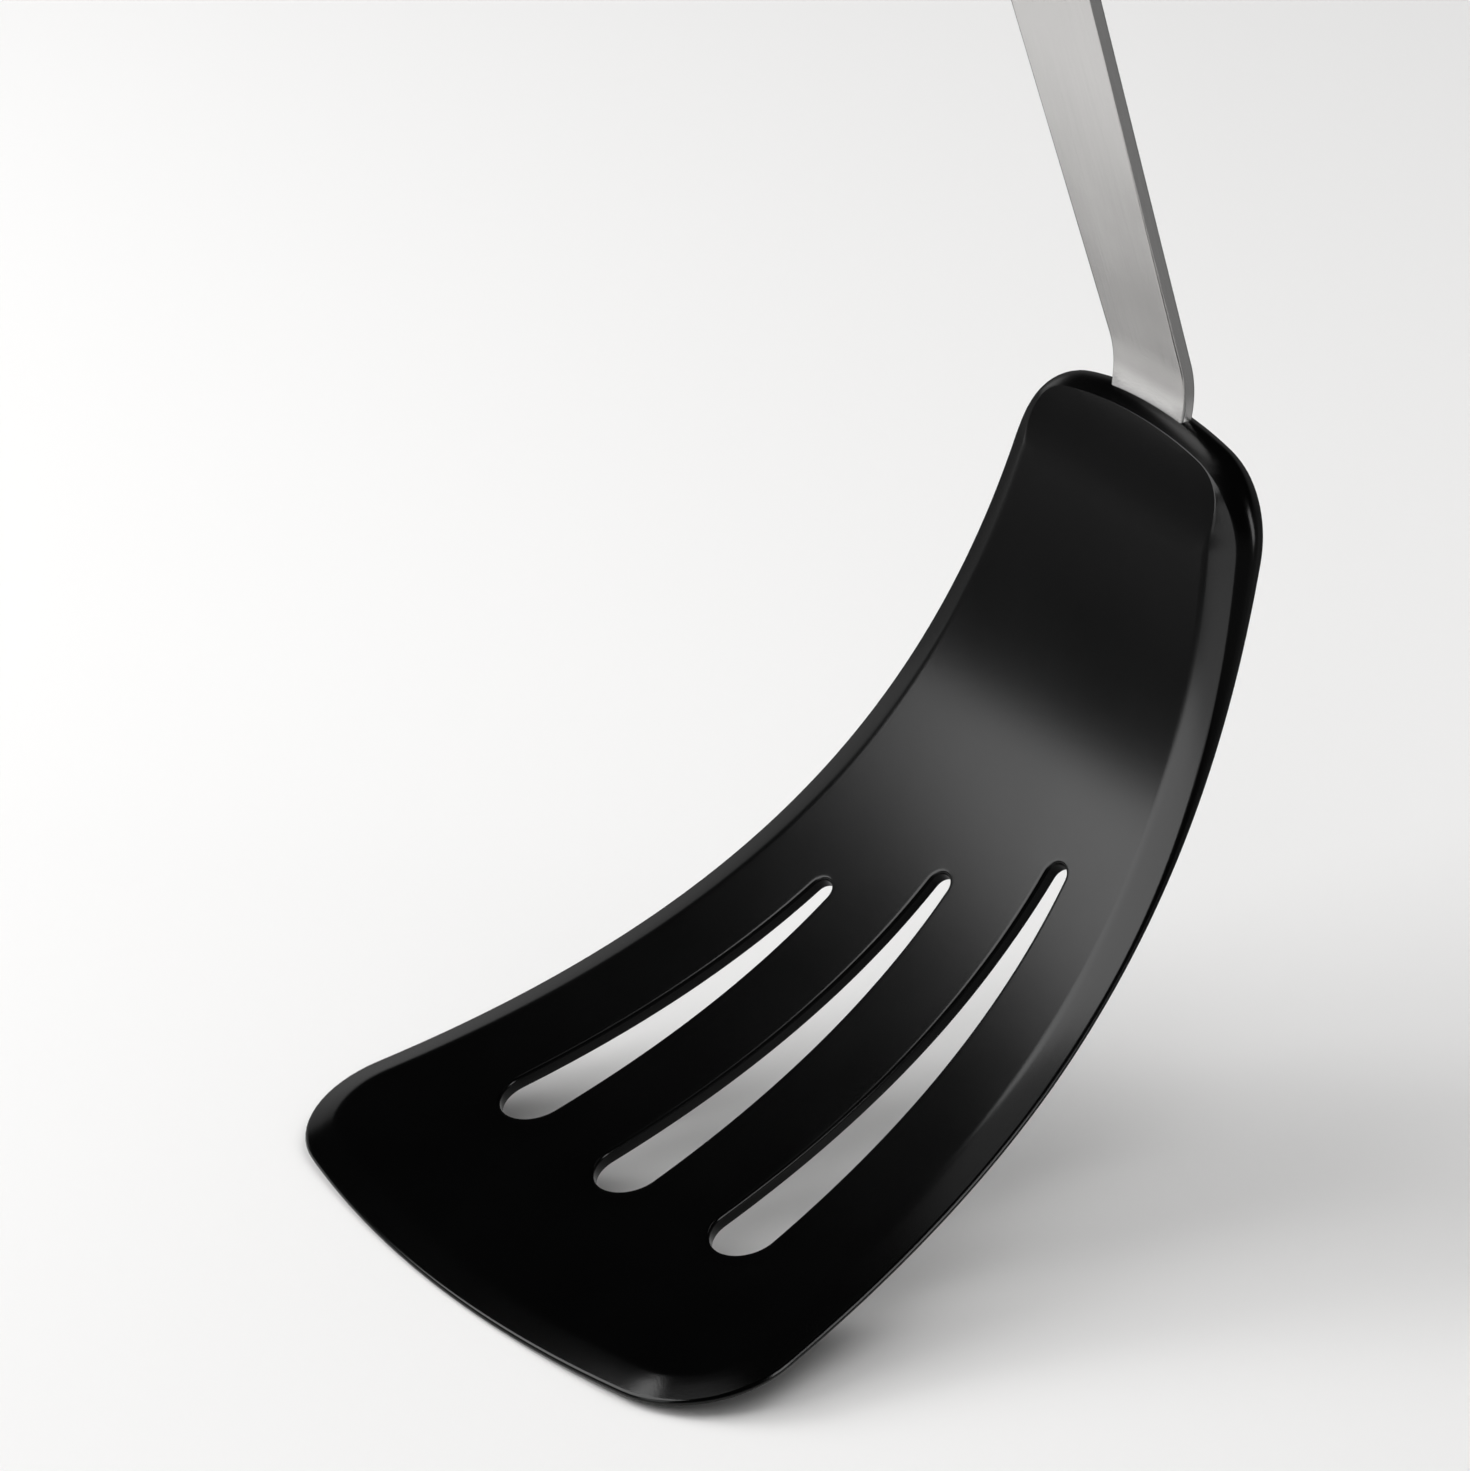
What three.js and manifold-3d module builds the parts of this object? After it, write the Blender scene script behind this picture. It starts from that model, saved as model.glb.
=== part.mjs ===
// Omelette spatula: a slotted silicone blade moulded over a spring sheet, on a bent steel neck strap with
// a soft grip. It stands as it is held, on its leading edge: x across, y from the leading edge to the back
// of the blade, z up. The origin is the middle of the grip.
import * as THREE from 'three';
import { mergeVertices } from 'three/addons/utils/BufferGeometryUtils.js';
import Module from 'manifold-3d';

const wasm = await Module();
wasm.setup();

// Driving dimensions, in millimetres and degrees

// Blade bend, seen from the side: one cubic curve from the leading edge up to the rear wall
const bladeReach = 107.7;
const bladeRise = 93.2;
const tipAngle = 9.9;
const rearAngle = 81.5;
const tipPull = 66.4;
const rearPull = 56.4;

// Blade outline, laid flat: bowed front and rear edges, slightly hollow sides and round corners
const frontHalfWidth = 52.5;
const rearHalfWidth = 22;
const frontBow = 8;
const rearBow = 3.45;
const sideHollow = 1;
const frontCornerRadius = 14.7;
const rearCornerRadius = 12.9;

// Blade section: a bulged rim all round, and a face that stands above it behind a bevel. The bevel narrows
// before the rear wall: there the face sinks a little, and the rim rises to meet it
const tipRim = 0.8;
const rearRim = 5.3;
const tipCrown = 1.1;
const rearCrown = 2.3;
const bevelWidth = 4.1;
const rearBevel = 0.3;
const bevelFadeStart = 11;
const bevelFadeEnd = 1.5;
const rimRise = 0.5;
const thickenStart = 80;
const rimBulge = 0.27;

// Slots on the flat blade, widest at the front: each next one to the right reaches further back
const slotFrontRadius = 4.78;
const slotFrontSpacing = 23;
const slotFrontMargin = 30;
const slotFrontStagger = 1;
const slotRearRadius = 1.82;
const slotRearSpacing = 16.9;
const slotRearShift = -1.4;
const slotRearMargin = 86;
const slotRearStagger = 9.2;
const slotEdge = 0.4;

// Spring sheet inside the blade
const coreThickness = 0.6;
const coreInset = 8;
const coreLift = 1.25;
const coreSlotMargin = 2.3;

// Neck strap: tongue in the blade, bend above the rear wall, flare up to the collar, tang in the handle
const strapThickness = 1.8;
const strapEdge = 0.25;
const tongueLength = 18;
const tongueCorner = 4;
const neckWidth = 15.2;
const neckLead = 2.2;
const neckBendRadius = 15;
const neckLean = 17;
const neckLength = 88;
const collarNeckWidth = 22.1;
const tangWidth = 12;
const tangLength = 62;

// Rivets through tongue and sheet
const rivetPitch = 7.6;
const rivetBack = 12;
const rivetShank = 1.4;
const rivetHead = 2.5;
const rivetHeadHeight = 0.5;

// Handle: hard bar, collar on its nose, soft sleeve, cap on its tail
const barWidth = 18;
const barThickness = 9.5;
const barCorner = 3;
const collarLength = 12;
const collarWall = 5;
const noseWidth = 27;
const noseThickness = 8;
const noseCorner = 3.5;
const gripLength = 104;
const gripEndWidth = 28;
const gripEndThickness = 15.5;
const gripEndCorner = 5;
const gripWaistWidth = 27;
const gripWaistThickness = 17;
const gripBellyWidth = 31;
const gripBellyThickness = 21.5;
const gripBellyCorner = 10;
const capLength = 32;
const capSocket = 7;
const capEndRounding = 3;

// Hang hole through the cap, with its liner
const holeWidth = 9;
const holeLength = 16;
const holeFromEnd = 5.5;
const linerWall = 1;
const linerRecess = 0.1;

// Pins through bar and tang
const pinRadius = 1.5;
const pinFirst = 14;
const pinPitch = 32;

// Clearances
const mouldGap = 0.2;
const seatGap = 0.2;
const handleGap = 0.3;

// Finishes
const silicone = new THREE.MeshStandardMaterial({ color: '#141416', roughness: 0.45, metalness: 0 });
const springSteel = new THREE.MeshStandardMaterial({ color: '#8f9194', roughness: 0.35, metalness: 1 });
const brushedSteel = new THREE.MeshStandardMaterial({ color: '#b9babb', roughness: 0.32, metalness: 1 });
const hardPlastic = new THREE.MeshStandardMaterial({ color: '#1a1a1b', roughness: 0.35, metalness: 0 });
const softRubber = new THREE.MeshStandardMaterial({ color: '#171718', roughness: 0.75, metalness: 0 });

const radians = THREE.MathUtils.degToRad;
const lerp = THREE.MathUtils.lerp;
const quarterTurn = Math.PI / 2;

// Solids and booleans

// Ring of points from half an outline that starts and ends on the middle line
function mirrored(half) {
  const other = half.slice(1, -1).reverse();
  return [...half, ...other.map(([across, along]) => [-across, along])];
}

// Closed solid from rings of points stacked on each other, with a ladder of strips as each end's lid
function stackRings(rings) {
  const count = rings[0].length;
  const index = [];
  for (let level = 0; level + 1 < rings.length; level += 1) {
    for (let i = 0; i < count; i += 1) {
      const a = level * count + i;
      const b = level * count + ((i + 1) % count);
      index.push(a, b, b + count, a, b + count, a + count);
    }
  }
  const addLid = (base, isLast) => {
    for (let i = 1; i < count / 2; i += 1) {
      const [a, b] = [base + i, base + count - i];
      const [c, d] = [base + i - 1, base + ((count - i + 1) % count)];
      const faces = i === 1 ? [[a, b, c]] : [[a, b, d], [a, d, c]];
      if (i + 1 === count / 2) faces.push([a, a + 1, b]);
      faces.forEach((face) => index.push(...(isLast ? face : face.reverse())));
    }
  };
  addLid(0, false);
  addLid((rings.length - 1) * count, true);
  const geometry = new THREE.BufferGeometry();
  const points = rings.flat().flatMap((point) => [point.x, point.y, point.z]);
  geometry.setAttribute('position', new THREE.Float32BufferAttribute(points, 3));
  geometry.setIndex(index);
  return toSolid(geometry);
}

// Solid with its faces pointing out, whichever way round its rings were drawn
function toSolid(geometry) {
  const bare = geometry.clone();
  bare.deleteAttribute('normal');
  bare.deleteAttribute('uv');
  const merged = mergeVertices(bare);
  const vertProperties = new Float32Array(merged.attributes.position.array);
  const triVerts = new Uint32Array(merged.index.array);
  const solid = new wasm.Manifold(new wasm.Mesh({ numProp: 3, vertProperties, triVerts }));
  if (solid.volume() > 0) return solid;
  return new wasm.Manifold(new wasm.Mesh({ numProp: 3, vertProperties, triVerts: triVerts.reverse() }));
}

const cut = (body, ...tools) => tools.reduce((left, tool) => left.subtract(tool), body);

function part(name, solid, material) {
  const { vertProperties, triVerts } = solid.getMesh();
  const geometry = new THREE.BufferGeometry();
  geometry.setAttribute('position', new THREE.BufferAttribute(vertProperties, 3));
  geometry.setIndex(new THREE.BufferAttribute(triVerts, 1));
  geometry.computeVertexNormals();
  const mesh = new THREE.Mesh(geometry, material);
  mesh.name = name;
  return mesh;
}

// Blade: the bend, the section and the flat outline

const headed = (angle) => new THREE.Vector2(Math.cos(radians(angle)), Math.sin(radians(angle)));
const bladeTip = new THREE.Vector2(0, 0);
const bladeEnd = new THREE.Vector2(bladeReach, bladeRise);
const bend = new THREE.CubicBezierCurve(
  bladeTip,
  bladeTip.clone().addScaledVector(headed(tipAngle), tipPull),
  bladeEnd.clone().addScaledVector(headed(rearAngle), -rearPull),
  bladeEnd,
);
bend.arcLengthDivisions = 400;
const bladeLength = bend.getLength();

// A place on the bent blade: across it, along it from the leading edge, and above the rim
function onBlade(across, along, above) {
  const share = THREE.MathUtils.clamp(along / bladeLength, 0, 1);
  const point = bend.getPointAt(share);
  const direction = bend.getTangentAt(share);
  const past = along - share * bladeLength;
  return new THREE.Vector3(
    across,
    point.x + direction.x * past - direction.y * above,
    point.y + direction.y * past + direction.x * above,
  );
}

// How far the section has swelled towards the rear wall, 0 to 1, and the heights that follow from it
const swell = (along) => Math.max(0, (along - thickenStart) / (bladeLength - thickenStart));
const rimAt = (along) => lerp(tipRim, rearRim, swell(along) ** 2);
const crownAt = (along) => lerp(tipCrown, rearCrown, swell(along) ** 2);
const coreAt = (along) => (crownAt(along) - rimAt(along)) / 2 + coreLift * swell(along);

// Width of the bevel, and the heights of its two edges, which share the height lost where it narrows
const bevelAt = (along) => {
  const beforeWall = bladeLength - along;
  return lerp(rearBevel, bevelWidth, THREE.MathUtils.smoothstep(beforeWall, bevelFadeEnd, bevelFadeStart));
};
const lostHeight = (along) => crownAt(along) * (1 - bevelAt(along) / bevelWidth);
const ledgeAt = (along) => rimRise * lostHeight(along);
const faceAt = (along) => crownAt(along) - (1 - rimRise) * lostHeight(along);

// The outline's edges are arcs, each with a centre across and along the flat blade
const arcRadius = (halfChord, rise) => (halfChord ** 2 + rise ** 2) / (2 * rise);
const frontRadius = arcRadius(frontHalfWidth, frontBow);
const rearRadius = arcRadius(rearHalfWidth, rearBow);
const sideTaper = frontHalfWidth - rearHalfWidth;
const sideChord = Math.hypot(bladeLength, sideTaper);
const sideRadius = arcRadius(sideChord / 2, sideHollow);
const frontCentre = [0, frontRadius];
const rearCentre = [0, bladeLength - rearRadius];
const sideCentre = [
  (frontHalfWidth + rearHalfWidth) / 2 + ((sideRadius - sideHollow) * bladeLength) / sideChord,
  bladeLength / 2 + ((sideRadius - sideHollow) * sideTaper) / sideChord,
];

// Centre of a corner circle that touches an end arc and the hollow side; turn is 1 at the rear, -1 in front
function cornerCentre(endCentre, endRadius, cornerRadius, turn) {
  const inner = endRadius - cornerRadius;
  const outer = sideRadius + cornerRadius;
  const dx = sideCentre[0] - endCentre[0];
  const dy = sideCentre[1] - endCentre[1];
  const distance = Math.hypot(dx, dy);
  const foot = (inner ** 2 - outer ** 2 + distance ** 2) / (2 * distance);
  const height = turn * Math.sqrt(inner ** 2 - foot ** 2);
  return [
    endCentre[0] + (foot * dx - height * dy) / distance,
    endCentre[1] + (foot * dy + height * dx) / distance,
  ];
}
const frontCorner = cornerCentre(frontCentre, frontRadius, frontCornerRadius, -1);
const rearCorner = cornerCentre(rearCentre, rearRadius, rearCornerRadius, 1);

const heading = (from, to) => Math.atan2(to[1] - from[1], to[0] - from[0]);
const frontTurn = heading(frontCentre, frontCorner);
const sideStart = heading(frontCorner, sideCentre);
const sideEnd = heading(rearCorner, sideCentre);
const rearTurn = heading(rearCentre, rearCorner);

// Half of the outline, from the middle of the leading edge to the middle of the rear wall, moved inwards
const smallestCorner = 0.5;
const steps = { front: 5, frontCorner: 6, side: 16, rearCorner: 6, rear: 4 };
function bladeHalf(insetAt) {
  const half = [];
  const addArc = (centre, radius, inwards, from, to, count) => {
    for (let i = half.length ? 1 : 0; i <= count; i += 1) {
      const angle = lerp(from, to, i / count);
      const inset = insetAt(centre[1] + radius * Math.sin(angle));
      const size = Math.max(radius + inwards * inset, smallestCorner);
      half.push([centre[0] + size * Math.cos(angle), centre[1] + size * Math.sin(angle)]);
    }
  };
  addArc(frontCentre, frontRadius, -1, -quarterTurn, frontTurn, steps.front);
  addArc(frontCorner, frontCornerRadius, -1, frontTurn, sideStart, steps.frontCorner);
  addArc(sideCentre, sideRadius, 1, sideStart + Math.PI, sideEnd + Math.PI, steps.side);
  addArc(rearCorner, rearCornerRadius, -1, sideEnd, rearTurn, steps.rearCorner);
  addArc(rearCentre, rearRadius, -1, rearTurn, quarterTurn, steps.rear);
  return half;
}

// Bent solid from levels of an outline: inset and height of each level change along the blade
function bentPlate(levels) {
  return stackRings(levels.map(({ inset, above }) => (
    mirrored(bladeHalf(inset)).map(([across, along]) => onBlade(across, along, above(along)))
  )));
}

// Outer shape of the blade: the face, the bevel, and a rim that bulges like half a wave
const rimSteps = 4;
function bladeShell() {
  const levels = [{ inset: bevelAt, above: faceAt }];
  for (let i = 0; i <= rimSteps; i += 1) {
    const down = i / rimSteps;
    const bulge = rimBulge * Math.sin(down * Math.PI);
    levels.push({
      inset: (along) => -bulge * (ledgeAt(along) + rimAt(along)),
      above: (along) => lerp(ledgeAt(along), -rimAt(along), down),
    });
  }
  return bentPlate(levels);
}

// Centres of each slot's end circles: the front ones follow the bow of the leading edge
const slots = [-1, 0, 1].map((place) => {
  const across = place * slotFrontSpacing;
  const bow = frontRadius - Math.sqrt(frontRadius ** 2 - across ** 2);
  return {
    front: [across, slotFrontMargin + bow + place * slotFrontStagger],
    rear: [slotRearShift + place * slotRearSpacing, slotRearMargin + place * slotRearStagger],
  };
});

// Outline of a slot, moved outwards: two end circles and the flanks that touch both
const flankSteps = 12;
const endSteps = 6;
function slotRing({ front, rear }, outset) {
  const length = Math.hypot(rear[0] - front[0], rear[1] - front[1]);
  const lean = Math.atan2(rear[0] - front[0], rear[1] - front[1]);
  const flank = Math.asin((slotFrontRadius - slotRearRadius) / length);
  const half = [];
  const addEnd = (radius, forward, from, to) => {
    for (let i = 0; i <= endSteps; i += 1) {
      const angle = lerp(from, to, i / endSteps);
      half.push([radius * Math.cos(angle), forward + radius * Math.sin(angle)]);
    }
  };
  addEnd(slotFrontRadius + outset, 0, -quarterTurn, flank);
  const start = half[half.length - 1];
  const rearSize = slotRearRadius + outset;
  const finish = [rearSize * Math.cos(flank), length + rearSize * Math.sin(flank)];
  for (let i = 1; i < flankSteps; i += 1) {
    half.push([lerp(start[0], finish[0], i / flankSteps), lerp(start[1], finish[1], i / flankSteps)]);
  }
  addEnd(rearSize, length, flank, quarterTurn);
  return mirrored(half).map(([side, forward]) => [
    front[0] + side * Math.cos(lean) + forward * Math.sin(lean),
    front[1] - side * Math.sin(lean) + forward * Math.cos(lean),
  ]);
}

// Cutter of a slot: straight walls, with the face's edge eased by a chamfer
const cutterReach = 1;
function slotCutter(slot) {
  const level = (outset, above) => (
    slotRing(slot, outset).map(([across, along]) => onBlade(across, along, above(along)))
  );
  return stackRings([
    level(slotEdge + cutterReach, (along) => crownAt(along) + cutterReach),
    level(0, (along) => crownAt(along) - slotEdge),
    level(0, (along) => -rimAt(along) - cutterReach),
  ]);
}

// Spring sheet, or the room for it when grown: its slots clear the blade's slots by a margin
function springSheet(grow) {
  const half = coreThickness / 2 + grow;
  const inset = () => coreInset - grow;
  const sheet = bentPlate([
    { inset, above: (along) => coreAt(along) + half },
    { inset, above: (along) => coreAt(along) - half },
  ]);
  const openings = slots.map((slot) => {
    const level = (side) => slotRing(slot, coreSlotMargin - grow).map(([across, along]) => (
      onBlade(across, along, coreAt(along) + side * (half + cutterReach))
    ));
    return stackRings([level(1), level(-1)]);
  });
  return cut(sheet, ...openings);
}

// Neck strap

// The strap runs under the sheet, leaves the rear wall, bends forwards and goes straight up into the handle
const strapDepth = coreThickness / 2 + seatGap + strapThickness / 2;
const neckTurn = radians(90 - rearAngle + neckLean);
const neckStart = neckLead + neckBendRadius * neckTurn;
const rearPoint = onBlade(0, bladeLength, coreAt(bladeLength) - strapDepth);
function onStrap(across, run, above) {
  if (run < 0) {
    const along = bladeLength + run;
    return onBlade(across, along, coreAt(along) - strapDepth + above);
  }
  const turned = THREE.MathUtils.clamp((run - neckLead) / neckBendRadius, 0, neckTurn);
  const before = radians(rearAngle);
  const lead = Math.min(run, neckLead);
  const rest = Math.max(0, run - neckStart);
  const angle = before + turned;
  const reach = neckBendRadius * (Math.sin(angle) - Math.sin(before));
  const rise = neckBendRadius * (Math.cos(before) - Math.cos(angle));
  return new THREE.Vector3(
    across,
    rearPoint.y + lead * Math.cos(before) + reach + rest * Math.cos(angle) - above * Math.sin(angle),
    rearPoint.z + lead * Math.sin(before) + rise + rest * Math.sin(angle) + above * Math.cos(angle),
  );
}

// Places along the handle, measured up the neck from the end of the bend
const collarStart = neckLength;
const collarEnd = collarStart + collarLength;
const barStart = collarStart + collarWall + handleGap;
const gripStart = collarEnd + handleGap;
const gripEnd = gripStart + gripLength;
const capStart = gripEnd + handleGap;
const barEnd = capStart + capSocket - handleGap;
const capEnd = capStart + capLength;
const inHandle = (across, run, above) => new THREE.Vector3(across, -above, run - neckStart);

// Half of the strap's outline, moved inwards: across it, and along it from the rear wall
const tongueSteps = 8;
const bendSteps = 8;
function strapHalf(inset) {
  const shoulder = neckStart + collarStart + collarWall - inset;
  const widthAt = (run) => lerp(neckWidth, collarNeckWidth, Math.max(0, run) / (neckStart + collarStart)) / 2;
  const corner = Math.min(tongueCorner, neckWidth / 2) - inset;
  const cornerAt = [neckWidth / 2 - inset - corner, inset + corner - tongueLength];
  const half = [[0, inset - tongueLength]];
  for (let i = 0; i <= endSteps; i += 1) {
    const angle = lerp(-quarterTurn, 0, i / endSteps);
    half.push([cornerAt[0] + corner * Math.cos(angle), cornerAt[1] + corner * Math.sin(angle)]);
  }
  const runs = [];
  for (let i = 1; i <= tongueSteps; i += 1) runs.push(lerp(cornerAt[1], 0, i / tongueSteps));
  for (let i = 0; i <= bendSteps; i += 1) runs.push(lerp(neckLead, neckStart, i / bendSteps));
  runs.push(shoulder);
  runs.forEach((run) => half.push([widthAt(run) - inset, run]));
  const tangEnd = neckStart + barStart + tangLength - inset;
  half.push([tangWidth / 2 - inset, shoulder], [tangWidth / 2 - inset, tangEnd], [0, tangEnd]);
  return half;
}

// Strap with its long edges eased
function strapPlate() {
  const half = strapThickness / 2;
  const level = (inset, above) => (
    mirrored(strapHalf(inset)).map(([across, run]) => onStrap(across, run, above))
  );
  return stackRings([
    level(strapEdge, half),
    level(0, half - strapEdge),
    level(0, strapEdge - half),
    level(strapEdge, -half),
  ]);
}

// Room for the strap in the blade or in the handle
function strapRoom(gap, place) {
  const half = strapThickness / 2 + gap;
  return stackRings([half, -half].map((above) => (
    mirrored(strapHalf(-gap)).map(([across, run]) => place(across, run, above))
  )));
}

// Turned solid that stands square on the sheet: its profile is radius and height from the sheet's middle
const rivetSides = 20;
function turnedOnSheet(profile, across) {
  const along = bladeLength - rivetBack;
  const points = profile.map(([radius, height]) => new THREE.Vector2(radius, height));
  const geometry = new THREE.LatheGeometry(points, rivetSides);
  const foot = onBlade(across, along, coreAt(along));
  const up = onBlade(across, along, coreAt(along) + 1).sub(foot);
  geometry.applyQuaternion(new THREE.Quaternion().setFromUnitVectors(new THREE.Vector3(0, 1, 0), up));
  geometry.translate(foot.x, foot.y, foot.z);
  return toSolid(geometry);
}

// Rivet through sheet and tongue, or the room for it when grown
const headTop = coreThickness / 2 + seatGap;
const headBottom = -strapDepth - strapThickness / 2 - seatGap;
function rivetAt(across, grow) {
  return turnedOnSheet([
    [0, headBottom - rivetHeadHeight - grow],
    [rivetHead + grow, headBottom - rivetHeadHeight - grow],
    [rivetHead + grow, headBottom + grow],
    [rivetShank + grow, headBottom + grow],
    [rivetShank + grow, headTop - grow],
    [rivetHead + grow, headTop - grow],
    [rivetHead + grow, headTop + rivetHeadHeight + grow],
    [0, headTop + rivetHeadHeight + grow],
  ], across);
}

// Hole for a rivet's shank in sheet and tongue
function shankHole(across) {
  const radius = rivetShank + seatGap;
  return turnedOnSheet([[0, headBottom], [radius, headBottom], [radius, headTop], [0, headTop]], across);
}

// Handle, in the neck's own frame: x across, y to the back, z up the neck

// Half of a rounded rectangle
const cornerSteps = 5;
function roundedHalf(width, thickness, corner) {
  const radius = Math.min(corner, width / 2, thickness / 2);
  const half = [[0, -thickness / 2]];
  [-1, 1].forEach((side) => {
    const from = side < 0 ? -quarterTurn : 0;
    for (let i = 0; i <= cornerSteps; i += 1) {
      const angle = from + (quarterTurn * i) / cornerSteps;
      half.push([
        width / 2 - radius + radius * Math.cos(angle),
        side * (thickness / 2 - radius) + radius * Math.sin(angle),
      ]);
    }
  });
  half.push([0, thickness / 2]);
  return half;
}

const loft = (sections) => stackRings(sections.map(({ width, thickness, corner, height }) => (
  mirrored(roundedHalf(width, thickness, corner)).map(([x, y]) => new THREE.Vector3(x, y, height))
)));

// Hard bar, or the room for it when grown
function bar(grow) {
  const width = barWidth + 2 * grow;
  const thickness = barThickness + 2 * grow;
  const corner = barCorner + grow;
  return loft([barStart - grow, barEnd + grow].map((height) => ({ width, thickness, corner, height })));
}

// Collar: swells from the strap to the grip like a quarter of an ellipse
const collarSteps = 6;
function collarBody() {
  const sections = [];
  for (let i = 0; i <= collarSteps; i += 1) {
    const angle = (quarterTurn * i) / collarSteps;
    const share = Math.sin(angle);
    sections.push({
      width: lerp(noseWidth, gripEndWidth, share),
      thickness: lerp(noseThickness, gripEndThickness, share),
      corner: lerp(noseCorner, gripEndCorner, share),
      height: lerp(collarStart, collarEnd, 1 - Math.cos(angle)),
    });
  }
  return loft(sections);
}

// Soft sleeve: a waist for the thumb behind the collar, and a belly in the palm
const waistShare = 0.2;
const bellyShare = 0.58;
const gripSteps = 14;
function gripBody() {
  const sizes = new THREE.CatmullRomCurve3([
    new THREE.Vector3(gripEndWidth, gripEndThickness, gripStart),
    new THREE.Vector3(gripWaistWidth, gripWaistThickness, lerp(gripStart, gripEnd, waistShare)),
    new THREE.Vector3(gripBellyWidth, gripBellyThickness, lerp(gripStart, gripEnd, bellyShare)),
    new THREE.Vector3(gripEndWidth, gripEndThickness, gripEnd),
  ]);
  const fullness = (thickness) => (thickness - gripEndThickness) / (gripBellyThickness - gripEndThickness);
  return loft(sizes.getPoints(gripSteps).map(({ x, y, z }) => ({
    width: x,
    thickness: y,
    corner: lerp(gripEndCorner, gripBellyCorner, fullness(y)),
    height: z,
  })));
}

// End cap: flat on both faces, with a round end seen from the front
const capSteps = 7;
const lastTurn = radians(78);
function capBody() {
  const radius = gripEndWidth / 2;
  const corner = gripEndCorner;
  const sections = [{ width: gripEndWidth, thickness: gripEndThickness, corner, height: capStart }];
  for (let i = 0; i <= capSteps; i += 1) {
    const angle = (lastTurn * i) / capSteps;
    sections.push({
      width: gripEndWidth * Math.cos(angle),
      thickness: gripEndThickness - 2 * capEndRounding * (1 - Math.cos(angle)) ** 2,
      corner,
      height: capEnd - radius + (radius * Math.sin(angle)) / Math.sin(lastTurn),
    });
  }
  return loft(sections);
}

// Long round-ended outline of the hang hole, moved inwards
const holeMiddle = capEnd - holeFromEnd - holeLength / 2;
function holeOutline(inset, Kind) {
  const radius = holeWidth / 2 - inset;
  const straight = (holeLength - holeWidth) / 2;
  const outline = new Kind();
  outline.absarc(0, straight, radius, 0, Math.PI);
  outline.absarc(0, -straight, radius, Math.PI, 2 * Math.PI);
  return outline;
}

// Extrudes an outline through the cap, from front to back
function throughCap(shape, depth) {
  const geometry = new THREE.ExtrudeGeometry(shape, { depth, bevelEnabled: false, curveSegments: 10 });
  geometry.translate(0, 0, -depth / 2);
  geometry.rotateX(quarterTurn);
  geometry.translate(0, 0, holeMiddle);
  return toSolid(geometry);
}

function holeLiner() {
  const shape = holeOutline(handleGap, THREE.Shape);
  shape.holes.push(holeOutline(handleGap + linerWall, THREE.Path));
  return throughCap(shape, gripEndThickness - 2 * linerRecess);
}

// Pin across bar and tang, or the room for it when grown
const pinSides = 20;
const pinHeights = [barStart + pinFirst, barStart + pinFirst + pinPitch];
function pinAt(height, grow) {
  const geometry = new THREE.CylinderGeometry(
    pinRadius + grow,
    pinRadius + grow,
    barThickness + 2 * grow,
    pinSides,
  );
  geometry.translate(0, 0, height);
  return toSolid(geometry);
}

// Assembly

const neckRotation = new THREE.Matrix4().makeRotationX(radians(neckLean));
const neckOrigin = onStrap(0, neckStart, 0);
const toHead = neckRotation.clone().setPosition(neckOrigin);
const gripMiddle = new THREE.Vector3(0, 0, (gripStart + gripEnd) / 2).applyMatrix4(toHead);
const rivetSpots = [-rivetPitch / 2, rivetPitch / 2];

const head = new THREE.Group();
head.add(part(
  'blade_skin',
  cut(
    bladeShell(),
    ...slots.map(slotCutter),
    springSheet(mouldGap),
    strapRoom(mouldGap, onStrap),
    ...rivetSpots.map((across) => rivetAt(across, mouldGap)),
  ),
  silicone,
));
const shankHoles = rivetSpots.map(shankHole);
head.add(part('spring_core', cut(springSheet(0), ...shankHoles), springSteel));
const pinRooms = pinHeights.map((height) => pinAt(height, seatGap));
const pinRoomsOnStrap = pinRooms.map((room) => room.transform(toHead.elements));
head.add(part('neck_strap', cut(strapPlate(), ...shankHoles, ...pinRoomsOnStrap), brushedSteel));
['core_rivet_left', 'core_rivet_right'].forEach((name, i) => {
  head.add(part(name, rivetAt(rivetSpots[i], 0), springSteel));
});

const handle = new THREE.Group();
handle.position.copy(neckOrigin);
handle.rotation.x = radians(neckLean);
const strapPocket = strapRoom(handleGap, inHandle);
const hangHole = throughCap(holeOutline(0, THREE.Shape), 2 * gripEndThickness);
handle.add(part('collar', cut(collarBody(), strapPocket, bar(handleGap)), hardPlastic));
handle.add(part('handle_core', cut(bar(0), strapPocket, ...pinRooms), hardPlastic));
handle.add(part('grip_sleeve', cut(gripBody(), bar(handleGap)), softRubber));
handle.add(part('end_cap', cut(capBody(), bar(handleGap), hangHole), hardPlastic));
handle.add(part('hang_eyelet', holeLiner(), brushedSteel));
['tang_pin_lower', 'tang_pin_upper'].forEach((name, i) => {
  handle.add(part(name, pinAt(pinHeights[i], 0), springSteel));
});

const spatula = new THREE.Group();
head.position.copy(gripMiddle).negate();
handle.position.sub(gripMiddle);
spatula.add(head, handle);

export default spatula;
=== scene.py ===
# %% [markdown]
# This lesson dresses an omelette turner: a slotted blade of black silicone, moulded round a spring steel
# sheet, on a flat brushed steel neck with a soft handle. Its solids come packed at their real size. Every
# piece that shows gets a finer skin in the same place and a finish of its own. A floor, soft boxes and a
# camera show it.

# %% Load the solids
import math

import bmesh
import bpy
import numpy as np
from mathutils import Matrix, Vector
from mathutils.geometry import delaunay_2d_cdt


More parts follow.
